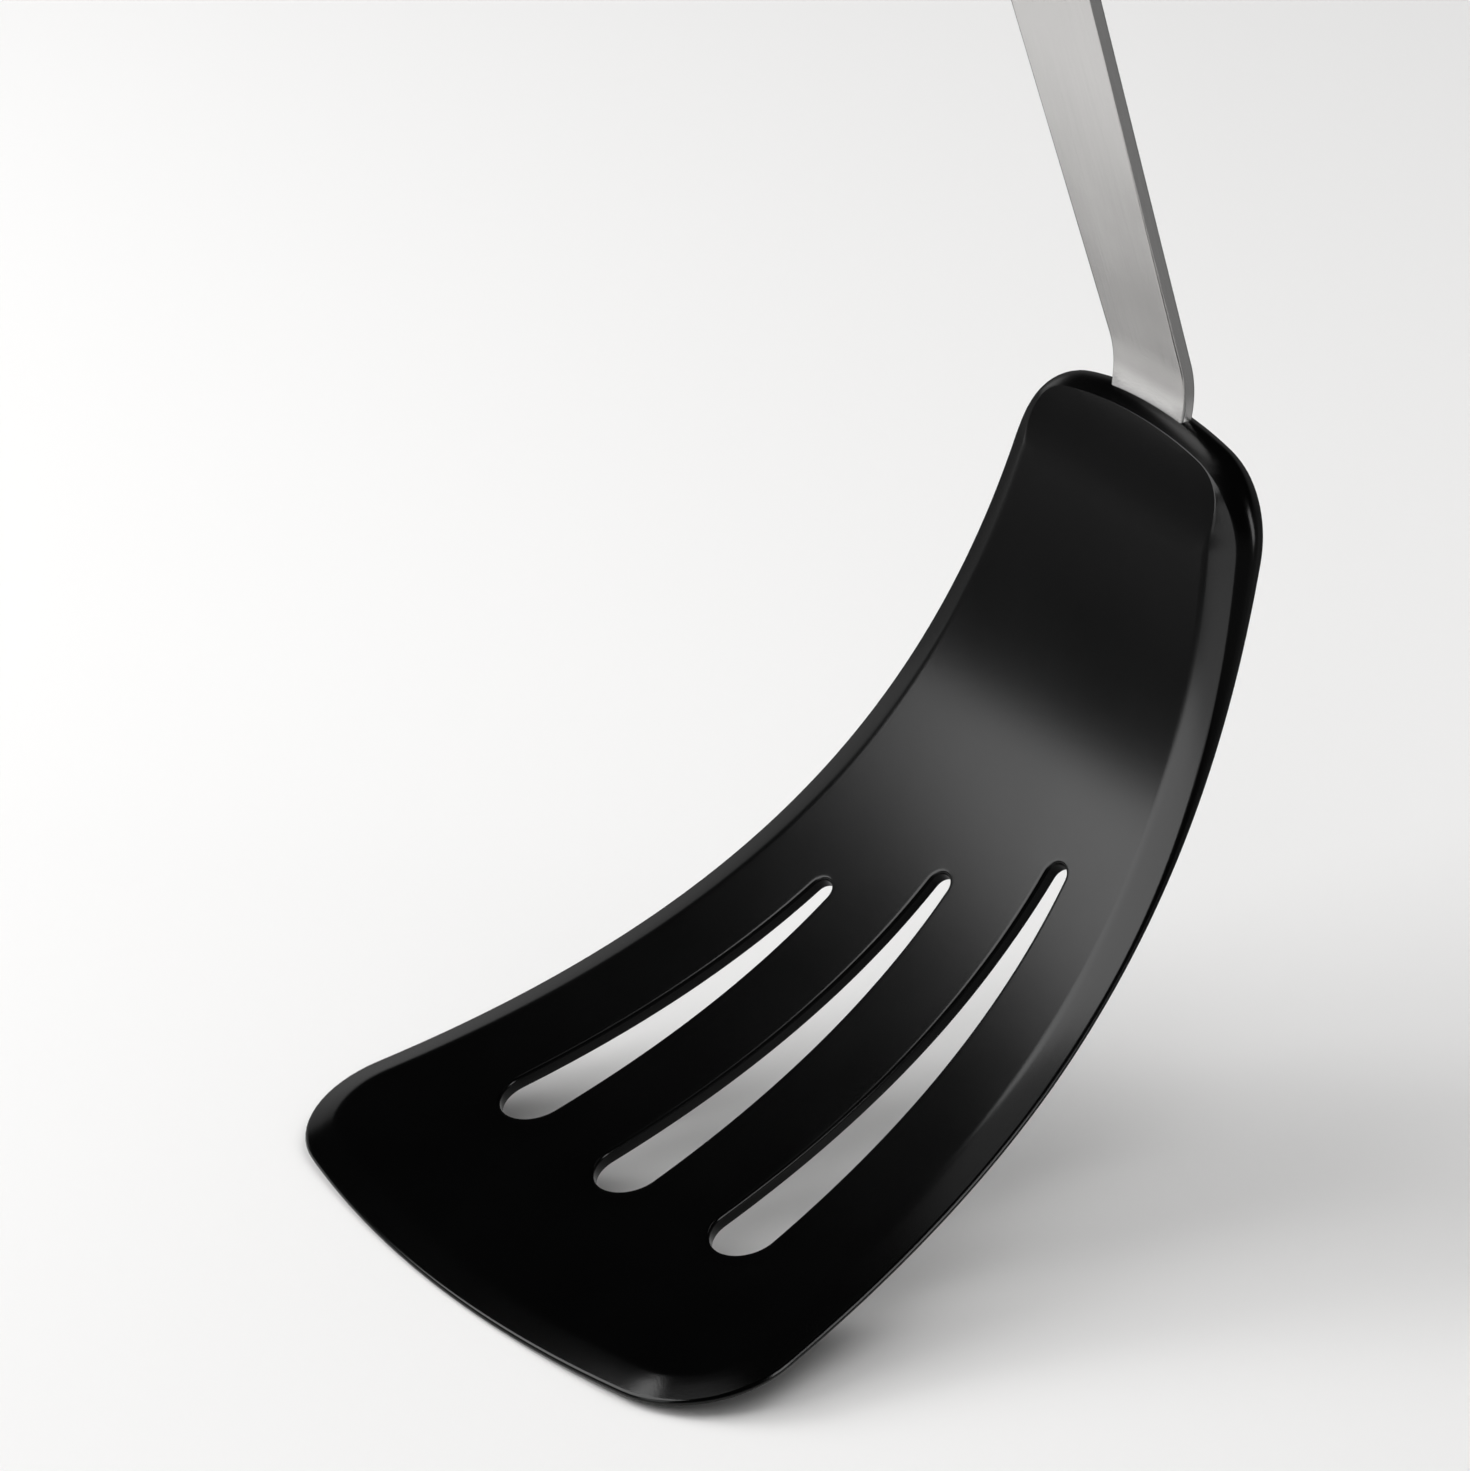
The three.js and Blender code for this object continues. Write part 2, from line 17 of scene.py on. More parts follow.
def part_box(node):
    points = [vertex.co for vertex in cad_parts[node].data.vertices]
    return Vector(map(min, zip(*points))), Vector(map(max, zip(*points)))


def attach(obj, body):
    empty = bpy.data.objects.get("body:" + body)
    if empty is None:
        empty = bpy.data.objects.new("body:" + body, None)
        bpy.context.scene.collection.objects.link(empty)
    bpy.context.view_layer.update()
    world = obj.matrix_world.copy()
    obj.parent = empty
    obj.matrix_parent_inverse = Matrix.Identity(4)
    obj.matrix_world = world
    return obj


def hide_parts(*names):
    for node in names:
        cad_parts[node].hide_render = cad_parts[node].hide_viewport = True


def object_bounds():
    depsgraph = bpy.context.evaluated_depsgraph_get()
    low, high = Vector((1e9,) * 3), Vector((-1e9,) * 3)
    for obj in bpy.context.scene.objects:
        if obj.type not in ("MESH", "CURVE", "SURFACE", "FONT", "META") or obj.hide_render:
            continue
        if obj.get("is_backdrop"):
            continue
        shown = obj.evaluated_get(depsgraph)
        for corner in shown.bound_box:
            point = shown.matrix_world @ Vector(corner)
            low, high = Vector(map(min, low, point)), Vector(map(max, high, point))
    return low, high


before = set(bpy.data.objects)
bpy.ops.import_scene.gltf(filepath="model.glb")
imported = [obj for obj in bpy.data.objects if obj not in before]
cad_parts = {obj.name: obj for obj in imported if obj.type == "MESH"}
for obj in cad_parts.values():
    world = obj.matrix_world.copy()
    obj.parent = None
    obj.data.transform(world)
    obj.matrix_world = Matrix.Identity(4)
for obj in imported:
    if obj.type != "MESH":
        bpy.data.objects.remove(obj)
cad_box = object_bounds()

MM = 0.001
for name in sorted(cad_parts):
    low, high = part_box(name)
    print(name, [round((b - a) / MM, 1) for a, b in zip(low, high)], "mm")

# %% [markdown]
# The blade is one plate, bent from flat on the pan at its leading edge to nearly upright at its rear wall.
# A curve modifier could bend it, but a formula puts every point exactly where the solid has it. So the
# plate is drawn flat, with a place across it, a place along it from the leading edge and a height above
# its rim, all in millimetres. The bend below then carries each point into space.

# %% The bend of the blade
blade_reach = 107.7
blade_rise = 93.2
tip_angle = math.radians(9.9)
rear_angle = math.radians(81.5)
tip_pull = 66.4
rear_pull = 56.4
bend_samples = 2001


def headed(angle):
    """A step of one millimetre at this angle, or one at each of many angles."""
    return np.stack([np.cos(angle), np.sin(angle)], axis=-1)


tip_point = np.zeros(2)
rear_point = np.array([blade_reach, blade_rise])
pulls = [tip_point, tip_pull * headed(tip_angle), rear_point - rear_pull * headed(rear_angle), rear_point]
share = np.linspace(0, 1, bend_samples)[:, None]
weights = [(1 - share) ** 3, 3 * share * (1 - share) ** 2, 3 * share**2 * (1 - share), share**3]
bend = sum(weight * pull for weight, pull in zip(weights, pulls))
bend_run = np.append(0, np.cumsum(np.linalg.norm(np.diff(bend, axis=0), axis=1)))
bend_slope = np.gradient(bend, axis=0)
bend_turn = np.arctan2(bend_slope[:, 1], bend_slope[:, 0])
blade_length = bend_run[-1]


def on_blade(across, along, above):
    """Places in space of points on the blade, from the middle of the leading edge."""
    turn = np.interp(along, bend_run, bend_turn)
    past = along - np.clip(along, 0, blade_length)
    back = np.interp(along, bend_run, bend[:, 0]) + past * np.cos(turn) - above * np.sin(turn)
    up = np.interp(along, bend_run, bend[:, 1]) + past * np.sin(turn) + above * np.cos(turn)
    return np.stack(np.broadcast_arrays(across, back, up), axis=-1)


print("blade length along the bend", round(blade_length, 2), "mm")

# %% [markdown]
# The silicone is thin at the leading edge, so that it slides under an omelette, and swells into a thick
# wall at the rear, where it holds the neck. Two heights say so: the rim's depth below the bevel, and the
# crown's height above it. Both grow with the square of the way from where the swelling starts.

# %% How thick the blade is
tip_rim = 0.8
rear_rim = 5.3
tip_crown = 1.1
rear_crown = 2.3
thicken_start = 80.0


def swell_at(along):
    """From 0 where the swelling starts to 1 at the rear wall."""
    return np.maximum(0, (along - thicken_start) / (blade_length - thicken_start))


def rim_at(along):
    """Depth of the rim below the bevel."""
    return tip_rim + (rear_rim - tip_rim) * swell_at(along) ** 2


def crown_at(along):
    """Height of the face above the rim, where the bevel is whole."""
    return tip_crown + (rear_crown - tip_crown) * swell_at(along) ** 2


for along in (0.0, thicken_start, blade_length):
    print("at", round(along), "mm the blade is", round(rim_at(along) + crown_at(along), 2), "mm thick")

# %% [markdown]
# The flat outline is a chain of arcs that touch: a bowed leading edge, wide front corners, slightly hollow
# sides, rear corners and a bowed rear wall. Splines could follow it too, but arcs can be moved inwards by
# a plain change of radius, and the bevel and the rim need many such rings.

# %% The arcs of the outline
quarter = math.pi / 2
front_half_width = 52.5
rear_half_width = 22.0
front_bow = 8.0
rear_bow = 3.45
side_hollow = 1.0
front_corner_radius = 14.7
rear_corner_radius = 12.9


def arc_radius(half_chord, rise):
    """Radius of an arc that rises this much over half a chord."""
    return (half_chord**2 + rise**2) / (2 * rise)


front_radius = arc_radius(front_half_width, front_bow)
rear_radius = arc_radius(rear_half_width, rear_bow)
side_taper = front_half_width - rear_half_width
side_chord = math.hypot(blade_length, side_taper)
side_radius = arc_radius(side_chord / 2, side_hollow)
front_centre = np.array([0, front_radius])
rear_centre = np.array([0, blade_length - rear_radius])
side_middle = np.array([(front_half_width + rear_half_width) / 2, blade_length / 2])
side_centre = side_middle + (side_radius - side_hollow) / side_chord * np.array([blade_length, side_taper])
print("arcs of", [round(radius, 1) for radius in (front_radius, rear_radius, side_radius)], "mm radius")

# %% Corners that touch the arcs


def corner_centre(end_centre, end_radius, corner_radius, turn):
    """Centre of a circle that touches an end arc and the side; turn is 1 at the rear and -1 in front."""
    inner = end_radius - corner_radius
    outer = side_radius + corner_radius
    apart = side_centre - end_centre
    distance = np.linalg.norm(apart)
    foot = (inner**2 - outer**2 + distance**2) / (2 * distance)
    height = turn * math.sqrt(inner**2 - foot**2)
    return end_centre + (foot * apart + height * np.array([-apart[1], apart[0]])) / distance


def turn_from(start, end):
    """Direction from one flat point to another."""
    return math.atan2(end[1] - start[1], end[0] - start[0])


front_corner = corner_centre(front_centre, front_radius, front_corner_radius, -1)
rear_corner = corner_centre(rear_centre, rear_radius, rear_corner_radius, 1)
front_turn = turn_from(front_centre, front_corner)
side_start = turn_from(front_corner, side_centre)
side_end = turn_from(rear_corner, side_centre)
rear_turn = turn_from(rear_centre, rear_corner)

# each arc: its centre, radius, growth when the ring moves inwards, first and last turn, and steps
outline_arcs = [
    (front_centre, front_radius, -1, -quarter, front_turn, 40),
    (front_corner, front_corner_radius, -1, front_turn, side_start, 16),
    (side_centre, side_radius, 1, side_start + math.pi, side_end + math.pi, 80),
    (rear_corner, rear_corner_radius, -1, side_end, rear_turn, 16),
    (rear_centre, rear_radius, -1, rear_turn, quarter, 20),
]
print("corners turn round", front_corner.round(1), "in front and", rear_corner.round(1), "behind, in mm")

# %% Rings of the outline


def whole_ring(half):
    """A whole ring from half of one that starts and ends on the middle line."""
    other = half[-2:0:-1] * [-1, 1]
    return np.vstack([half, other])


def blade_ring(inset):
    """The outline moved inwards by a length, which may depend on the place along the blade."""
    half = []
    for centre, radius, growth, start, end, steps in outline_arcs:
        turn = np.linspace(start, end, steps + 1)
        moved = inset(centre[1] + radius * np.sin(turn)) if callable(inset) else inset
        size = radius + growth * moved
        arc = centre + np.column_stack([size * np.cos(turn), size * np.sin(turn)])
        half.append(arc[1:] if half else arc)
    return whole_ring(np.vstack(half))


print("outline of", len(blade_ring(0.0)), "points,", round(2 * blade_ring(0.0)[:, 0].max(), 1), "mm wide")

# %% [markdown]
# Three slots let fat drain off. Each is a tapered stadium: a wide circle in front, a narrow one behind,
# and flanks that touch both. They fan out towards the leading edge, and each one sits a little further
# back than the one on its left.

# %% The slots
slot_front_radius = 4.78
slot_front_spacing = 23.0
slot_front_margin = 30.0
slot_front_stagger = 1.0
slot_rear_radius = 1.82
slot_rear_spacing = 16.9
slot_rear_shift = -1.4
slot_rear_margin = 86.0
slot_rear_stagger = 9.2
slot_front_points = 19
slot_rear_points = 13
slot_flank_points = 31


def slot_ends(place):
    """Centres of the two end circles of the left, middle or right slot: place -1, 0 or 1."""
    across = place * slot_front_spacing
    bow = front_radius - math.sqrt(front_radius**2 - across**2)
    front = np.array([across, slot_front_margin + bow + place * slot_front_stagger])
    middle_rear = np.array([slot_rear_shift, slot_rear_margin])
    return front, middle_rear + place * np.array([slot_rear_spacing, slot_rear_stagger])


def slot_ring(place, outset):
    """The outline of a slot, moved outwards."""
    front, rear = slot_ends(place)
    length = np.linalg.norm(rear - front)
    forward = (rear - front) / length
    side = np.array([forward[1], -forward[0]])
    flank = math.asin((slot_front_radius - slot_rear_radius) / length)
    front_size = slot_front_radius + outset
    rear_size = slot_rear_radius + outset
    front_turns = np.linspace(-quarter, flank, slot_front_points)
    rear_turns = np.linspace(flank, quarter, slot_rear_points)
    front_end = front_size * headed(front_turns)
    rear_end = rear_size * headed(rear_turns) + [0, length]
    flank_share = np.linspace(0, 1, slot_flank_points)[1:-1, None]
    between = front_end[-1] + flank_share * (rear_end[0] - front_end[-1])
    ring = whole_ring(np.vstack([front_end, between, rear_end]))
    return front + ring[:, :1] * side + ring[:, 1:] * forward


for place in (-1, 0, 1):
    ring = slot_ring(place, 0.0)
    print("slot", place, "runs from", ring[:, 1].min().round(1), "to", ring[:, 1].max().round(1), "mm")

# %% [markdown]
# All thin pieces here are plates with shaped edges, so one builder makes them. It takes the levels of each
# edge, from the top face down to the bottom face, and joins them with bands of four-sided faces. The two
# faces are filled by a triangulation that keeps to the edge rings and has its own even grid inside,
# because a fan of long thin triangles would spoil the gloss on a bent face.

# %% Filling a flat face
# the margin is a share of the grid's spacing, the tolerance is in millimetres
grid_margin = 0.55
fill_tolerance = 1e-5


def covered(points, loops):
    """True for each point inside the first loop and outside the others."""
    odd = np.zeros(len(points), bool)
    x, y = points[:, :1], points[:, 1:]
    for loop in loops:
        after = np.roll(loop, -1, axis=0)
        spans = (loop[:, 1] > y) != (after[:, 1] > y)
        rise = np.where(after[:, 1] == loop[:, 1], 1, after[:, 1] - loop[:, 1])
        crossing = loop[:, 0] + (y - loop[:, 1]) * (after[:, 0] - loop[:, 0]) / rise
        odd ^= np.sum(spans & (x < crossing), axis=1) % 2 == 1
    return odd


def filled(loops, spacing):
    """Points and triangles of the flat face between an outer loop and the loops of its openings."""
    low, high = loops[0].min(axis=0), loops[0].max(axis=0)
    lines = [np.linspace(a, b, round((b - a) / spacing) + 1) for a, b in zip(low, high)]
    grid = np.stack(np.meshgrid(*lines), axis=-1).reshape(-1, 2)
    edge = np.vstack(loops)
    nearest = np.array([np.hypot(*(edge - point).T).min() for point in grid])
    grid = grid[covered(grid, loops) & (nearest > grid_margin * spacing)]
    links = []
    for loop in loops:
        first = links[-1][0] + 1 if links else 0
        links += [(first + i, first + (i + 1) % len(loop)) for i in range(len(loop))]
    points = [Vector(point) for point in np.vstack([edge, grid])]
    points, _, triangles, _, _, _ = delaunay_2d_cdt(points, links, [], 0, fill_tolerance)
    points = np.array([tuple(point) for point in points])
    triangles = np.array(triangles)
    return points, triangles[covered(points[triangles].mean(axis=1), loops)]


print("as a test, a slot is filled by", len(filled([slot_ring(0, 0.0)], 2.0)[1]), "triangles")

# %% Skins and plates


class Skin:
    """Points in millimetres and the faces between them, gathered ring by ring."""

    def __init__(self):
        self.points = []
        self.faces = []

    def add(self, points):
        """Keeps the points and returns the number of the first one."""
        first = len(self.points)
        self.points.extend(points.tolist())
        return first

    def band(self, rings, closed=False):
        """Joins each ring to the next, and the last to the first if closed."""
        starts = [self.add(ring) for ring in rings]
        others = starts[1:] + (starts[:1] if closed else [])
        count = len(rings[0])
        for start, other in zip(starts, others):
            for i in range(count):
                j = (i + 1) % count
                self.faces.append((start + i, start + j, other + j, other + i))

    def face(self, loops, spacing, height, place):
        """Fills the face between the loops, at a height that depends on the place along."""
        points, triangles = filled(loops, spacing)
        first = self.add(place(points[:, 0], points[:, 1], height(points[:, 1])))
        self.faces.extend((triangles + first).tolist())


def plate(edges, top, bottom, spacing, place):
    """A closed skin. Each edge is a list of levels, ring and height; the first edge is the outer one."""
    skin = Skin()
    for levels in edges:
        skin.band([place(ring[:, 0], ring[:, 1], above) for ring, above in levels])
    skin.face([levels[0][0] for levels in edges], spacing, top, place)
    skin.face([levels[-1][0] for levels in edges], spacing, bottom, place)
    return skin


print("a plate takes its edges, the heights of both faces, a grid and a bend")

# %% [markdown]
# The neck strap runs on from the blade: its tongue lies under the spring sheet, it leaves the rear wall,
# bends forwards and goes straight up into the handle. One formula follows it the whole way. The far end of
# the bend is also where the handle's own measures start, and the middle of the grip is the origin of the
# frame.

# %% The run of the neck
core_thickness = 0.6
core_lift = 1.25
seat_gap = 0.2
strap_thickness = 1.8
neck_lead = 2.2
neck_bend_radius = 15.0
neck_lean = math.radians(17)
neck_turn = quarter - rear_angle + neck_lean
neck_start = neck_lead + neck_bend_radius * neck_turn
strap_depth = core_thickness / 2 + seat_gap + strap_thickness / 2


def strap_height(along):
    """Height of the strap's middle in the blade, under the spring sheet."""
    core = (crown_at(along) - rim_at(along)) / 2 + core_lift * swell_at(along)
    return core - strap_depth


strap_exit = on_blade(0, blade_length, strap_height(blade_length))


def on_strap(across, run, above):
    """Places in space of points on the strap; run is the way from the rear wall, below 0 in the blade."""
    along = blade_length + np.minimum(run, 0)
    inside = on_blade(across, along, strap_height(along) + above)
    lead = np.clip(run, 0, neck_lead)
    angle = rear_angle + np.clip((run - neck_lead) / neck_bend_radius, 0, neck_turn)
    rest = np.maximum(0, run - neck_start)
    reach = neck_bend_radius * (np.sin(angle) - math.sin(rear_angle))
    rise = neck_bend_radius * (math.cos(rear_angle) - np.cos(angle))
    back = strap_exit[1] + lead * math.cos(rear_angle) + reach + rest * np.cos(angle) - above * np.sin(angle)
    up = strap_exit[2] + lead * math.sin(rear_angle) + rise + rest * np.sin(angle) + above * np.cos(angle)
    outside = np.stack(np.broadcast_arrays(across, back, up), axis=-1)
    return np.where(np.asarray(run)[..., None] < 0, inside, outside)


bend_end = on_strap(0, neck_start, 0)
print("the neck leaves the wall at", strap_exit.round(1), "and its bend ends at", bend_end.round(1), "mm")

# %% Measures of the handle


def in_handle(across, up, front):
    """Places in space: across the handle, up the neck from the end of its bend, and towards the front."""
    back = -front * math.cos(neck_lean) - up * math.sin(neck_lean)
    rise = -front * math.sin(neck_lean) + up * math.cos(neck_lean)
    return bend_end + np.stack(np.broadcast_arrays(across, back, rise), axis=-1)


handle_gap = 0.3
collar_start = 88.0
collar_length = 12.0
collar_wall = 5.0
grip_length = 104.0
collar_end = collar_start + collar_length
bar_start = collar_start + collar_wall + handle_gap
grip_start = collar_end + handle_gap
grip_end = grip_start + grip_length
grip_middle = in_handle(0, (grip_start + grip_end) / 2, 0)
print("middle of the grip above the leading edge", grip_middle.round(3), "mm")

# %% [markdown]
# A finished skin becomes a mesh here. Points that two rings share are welded, triangles on flat stretches
# are paired into four-sided faces, and every face is turned outwards. The piece takes the place of its
# solid, which is hidden, and moves with the root body.

# %% From a skin to a piece
weld_distance = 0.001 * MM
flat_enough = math.radians(30)


def skin_mesh(name, skin):
    """A mesh of a skin, in metres from the middle of the grip."""
    mesh = bpy.data.meshes.new(name)
    places = (np.array(skin.points) - grip_middle) * MM
    mesh.from_pydata(places.tolist(), [], skin.faces)
    return mesh


def add_object(name, data):
    """Puts a mesh, a camera or a lamp into the scene."""
    made = bpy.data.objects.new(name, data)
    bpy.context.scene.collection.objects.link(made)
    return made


def make_piece(name, skin, node, sharp_angle=None):
    """A piece in place of a solid. Edges that turn by more than the sharp angle stay sharp."""
    mesh = skin_mesh(name, skin)
    form = bmesh.new()
    form.from_mesh(mesh)
    bmesh.ops.remove_doubles(form, verts=form.verts, dist=weld_distance)
    triangles = [face for face in form.faces if len(face.verts) == 3]
    limits = {"angle_face_threshold": flat_enough, "angle_shape_threshold": flat_enough}
    bmesh.ops.join_triangles(form, faces=triangles, **limits)
    bmesh.ops.recalc_face_normals(form, faces=form.faces)
    open_edges = sum(not edge.is_manifold for edge in form.edges)
    form.to_mesh(mesh)
    form.free()
    mesh.shade_smooth()
    if sharp_angle:
        mesh.set_sharp_from_angle(angle=math.radians(sharp_angle))
    piece = add_object(name, mesh)
    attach(piece, "root")
    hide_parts(node)
    print(name, "has", len(mesh.polygons), "faces and", open_edges, "open edges")
    return piece


print("points move by", (-grip_middle).round(1), "mm, so that the middle of the grip is the origin")

# %% [markdown]
# The blade's edge falls from the flat face over a soft crease, down a bevel, and round a bulged rim that
# goes under. Before the rear wall the bevel narrows to a thin line: the face sinks a little, and the wall
# rises to meet it. A bevel modifier would round every edge alike, but a moulded edge has a different
# radius at each turn, so each turn gets rings of its own. The slots have small rounds, wider on the face
# side.

# %% The bevel that fades
bevel_width = 4.1
rear_bevel = 0.05
bevel_fade_start = 11.0
bevel_fade_end = 1.5

# the share of the lost height by which the wall rises; the face sinks by the rest
rim_rise = 0.5


def bevel_at(along):
    """Width of the bevel, which fades before the rear wall."""
    share = np.clip((blade_length - along - bevel_fade_end) / (bevel_fade_start - bevel_fade_end), 0, 1)
    return rear_bevel + (bevel_width - rear_bevel) * share**2 * (3 - 2 * share)


def lost_height(along):
    """How much of the crown is lost where the bevel narrows."""
    return crown_at(along) * (1 - bevel_at(along) / bevel_width)


def ledge_at(along):
    """Height of the bevel's outer edge, which rises where the bevel narrows."""
    return rim_rise * lost_height(along)


def face_at(along):
    """Height of the face, which sinks where the bevel narrows."""
    return crown_at(along) - (1 - rim_rise) * lost_height(along)


for along in (0.0, blade_length - bevel_fade_start / 2, blade_length):
    print("at", round(along), "mm the bevel is", round(bevel_at(along), 2), "mm wide")

# %% The outer edge of the blade
under_inset = 0.7

# the bevel's creases and the rim's bulge, as shares of the bevel's width and of the rim's height
crease = 0.14
rim_bulge = 0.27

# rings of the bevel: how far in from its outer edge and how far down from the face, as shares of it
bevel_steps = [
    (1 + 1.5 * crease, 0),
    (1 + crease, 0),
    (1, crease / 4),
    (1 - crease, crease),
    (0.5, 0.5),
    (crease / 2, 1 - crease / 2),
]

# rings of the rim, as shares of the way down it; the first, close under the bevel, keeps that edge crisp
rim_steps = [0.015, *np.linspace(0.08, 0.93, 12)]


def blade_edge():
    """Levels of the outer edge, from the face over bevel and rim to the underside."""
    levels = []
    for inset, fall in bevel_steps:
        ring = blade_ring(lambda along: inset * bevel_at(along))
        face, edge = face_at(ring[:, 1]), ledge_at(ring[:, 1])
        levels.append((ring, face - fall * (face - edge)))
    for fall in rim_steps:
        out = rim_bulge * math.sin(fall * math.pi)
        ring = blade_ring(lambda along: -out * (ledge_at(along) + rim_at(along)))
        edge, under = ledge_at(ring[:, 1]), -rim_at(ring[:, 1])
        levels.append((ring, edge - fall * (edge - under)))
    ring = blade_ring(under_inset)
    levels.append((ring, -rim_at(ring[:, 1])))
    return levels


blade_edges = [blade_edge()]
print("the outer edge has", len(blade_edges[0]), "rings")

# %% The edges of the slots
slot_round = 0.5
slot_under_round = 0.25

# a narrow flat margin beside each round keeps its shading off the face
guard = 0.25


def slot_edge(place):
    """Levels of a slot's edge, with a wider round on the face than underneath."""
    levels = []
    ring = slot_ring(place, slot_round + guard)
    levels.append((ring, crown_at(ring[:, 1])))
    for turn in np.linspace(0, quarter, 7):
        ring = slot_ring(place, slot_round * (1 - math.sin(turn)))
        levels.append((ring, crown_at(ring[:, 1]) - slot_round * (1 - math.cos(turn))))
    for turn in np.linspace(0, quarter, 4):
        ring = slot_ring(place, slot_under_round * (1 - math.cos(turn)))
        levels.append((ring, slot_under_round * (1 - math.sin(turn)) - rim_at(ring[:, 1])))
    ring = slot_ring(place, slot_under_round + guard)
    levels.append((ring, -rim_at(ring[:, 1])))
    return levels


blade_edges += [slot_edge(place) for place in (-1, 0, 1)]
print("each slot's edge has", len(blade_edges[-1]), "rings")

# %% The silicone blade
blade_grid = 2.2
blade_skin = plate(blade_edges, face_at, lambda along: -rim_at(along), blade_grid, on_blade)
blade = make_piece("silicone_blade", blade_skin, "blade_skin")

# %% [markdown]
# The neck is a strap of sheet steel. It is sheared from a flat strip, so its faces are plain and its edges
# are only eased. The strap widens towards the handle, and inside the handle it narrows to a tang.

# %% The outline of the strap
neck_width = 15.2
collar_neck_width = 22.1
tongue_length = 18.0
tongue_corner = 4.0
tang_width = 12.0
tang_length = 62.0


def strap_ring(inset):
    """The strap's outline moved inwards: across it, and along it from the rear wall."""
    corner = tongue_corner - inset
    corner_at = np.array([neck_width / 2 - inset - corner, inset + corner - tongue_length])
    turns = np.linspace(-quarter, 0, 9)
    tongue = corner_at + corner * headed(turns)
    shoulder = neck_start + collar_start + collar_wall - inset
    tang_end = neck_start + bar_start + tang_length - inset
    in_blade = np.linspace(corner_at[1], 0, 8)[1:]
    in_bend = np.linspace(neck_lead, neck_start, 28)
    straight = np.linspace(neck_start, shoulder, 50)[1:]
    runs = np.concatenate([in_blade, in_bend, straight])
    widths = np.interp(runs, [0, neck_start + collar_start], [neck_width, collar_neck_width])
    sides = np.column_stack([widths / 2 - inset, runs])
    tang = [[tang_width / 2 - inset, shoulder], [tang_width / 2 - inset, tang_end], [0, tang_end]]
    return whole_ring(np.vstack([[[0, inset - tongue_length]], tongue, sides, tang]))


print("the strap is", round(np.ptp(strap_ring(0.0)[:, 1]), 1), "mm long with its tongue and tang")

# %% The steel neck
strap_edge = 0.4
strap_grid = 1.7
strap_sharp_angle = 50


def eased_edge(ring, half, radius, steps):
    """Levels of an edge whose two rims are rounded, from the top face to the bottom face."""
    top = [(ring(radius + guard), half)]
    for turn in np.linspace(0, quarter, steps):
        top.append((ring(radius * (1 - math.sin(turn))), half - radius * (1 - math.cos(turn))))
    return top + [(level, -above) for level, above in reversed(top)]


def flat(height):
    """The same height everywhere."""
    return lambda along: np.full(len(along), height)


half_strap = strap_thickness / 2
strap_edges = [eased_edge(strap_ring, half_strap, strap_edge, steps=5)]
strap_skin = plate(strap_edges, flat(half_strap), flat(-half_strap), strap_grid, on_strap)
neck = make_piece("steel_neck", strap_skin, "neck_strap", strap_sharp_angle)

# %% [markdown]
# Collar and grip are sleeves round a hard bar: an outside that swells and narrows, and a straight channel
# inside. A turned profile would make them round, but they are flat and wide, so each is a tube of rounded
# rectangles. It runs up the outside and back down the channel, which closes its wall.

# %% Rings for the sleeves
# the room for the bar: its width, thickness and corner
bar_room = np.array([18.6, 10.1, 3.3])
end_ease = 0.7


def section(sizes, up, shrink=0.0):
    """A ring round the handle: a rounded rectangle of this width, thickness and corner."""
    width, thickness, corner = np.asarray(sizes) - [2 * shrink, 2 * shrink, shrink]
    ring = []
    for i, (side, face) in enumerate([(1, 1), (-1, 1), (-1, -1), (1, -1)]):
        turns = np.linspace(0, quarter, 9) + i * quarter
        middle = [side * (width / 2 - corner), face * (thickness / 2 - corner)]
        ring.append(middle + corner * headed(turns))
    ring = np.vstack(ring)
    return in_handle(ring[:, 0], up, ring[:, 1])


def outside(sections):
    """Rings of a sleeve's outside from its lower to its upper end, with both end edges rounded."""
    (low_sizes, low), (high_sizes, high) = sections[0], sections[-1]
    turns = np.linspace(0, quarter, 5)
    eases = [(end_ease * (1 - math.sin(turn)), end_ease * (1 - math.cos(turn))) for turn in turns]
    lower = [section(low_sizes, low + lift, shrink) for shrink, lift in eases]
    middle = [section(sizes, up) for sizes, up in sections if low + end_ease < up < high - end_ease]
    upper = [section(high_sizes, high - lift, shrink) for shrink, lift in reversed(eases)]
    return lower + middle + upper


print("a ring round the handle has", len(section(bar_room, 0.0)), "points")

# %% [markdown]
# The collar is the hard nose where the strap enters the handle. It rises from the strap like a quarter of
# an ellipse. Its channel is a slit for the strap below and a room for the bar above.

# %% The collar
handle_sharp_angle = 40
nose = np.array([27.0, 8.0, 3.5])
grip_tip = np.array([28.0, 15.5, 5.0])
collar_slit = np.array([23.2, 2.4, 0.6])

collar_sections = []
for turn in np.linspace(0, quarter, 25):
    sizes = nose + (grip_tip - nose) * math.sin(turn)
    collar_sections.append((sizes, collar_start + collar_length * (1 - math.cos(turn))))
room_floor = bar_start - handle_gap
collar_channel = [
    section(bar_room, collar_end),
    section(bar_room, room_floor),
    section(collar_slit, room_floor),
    section(collar_slit, collar_start),
]
collar_skin = Skin()
collar_skin.band(outside(collar_sections) + collar_channel, closed=True)
collar = make_piece("handle_collar", collar_skin, "collar", handle_sharp_angle)

# %% [markdown]
# The grip is a soft sleeve with a waist behind the collar for the thumb and a belly for the palm. Four
# sections say its shape, and a smooth curve through them gives the rest. Shallow grooves near both ends
# keep a wet hand from slipping. They are real dents in the mesh, so that they catch light from every side.

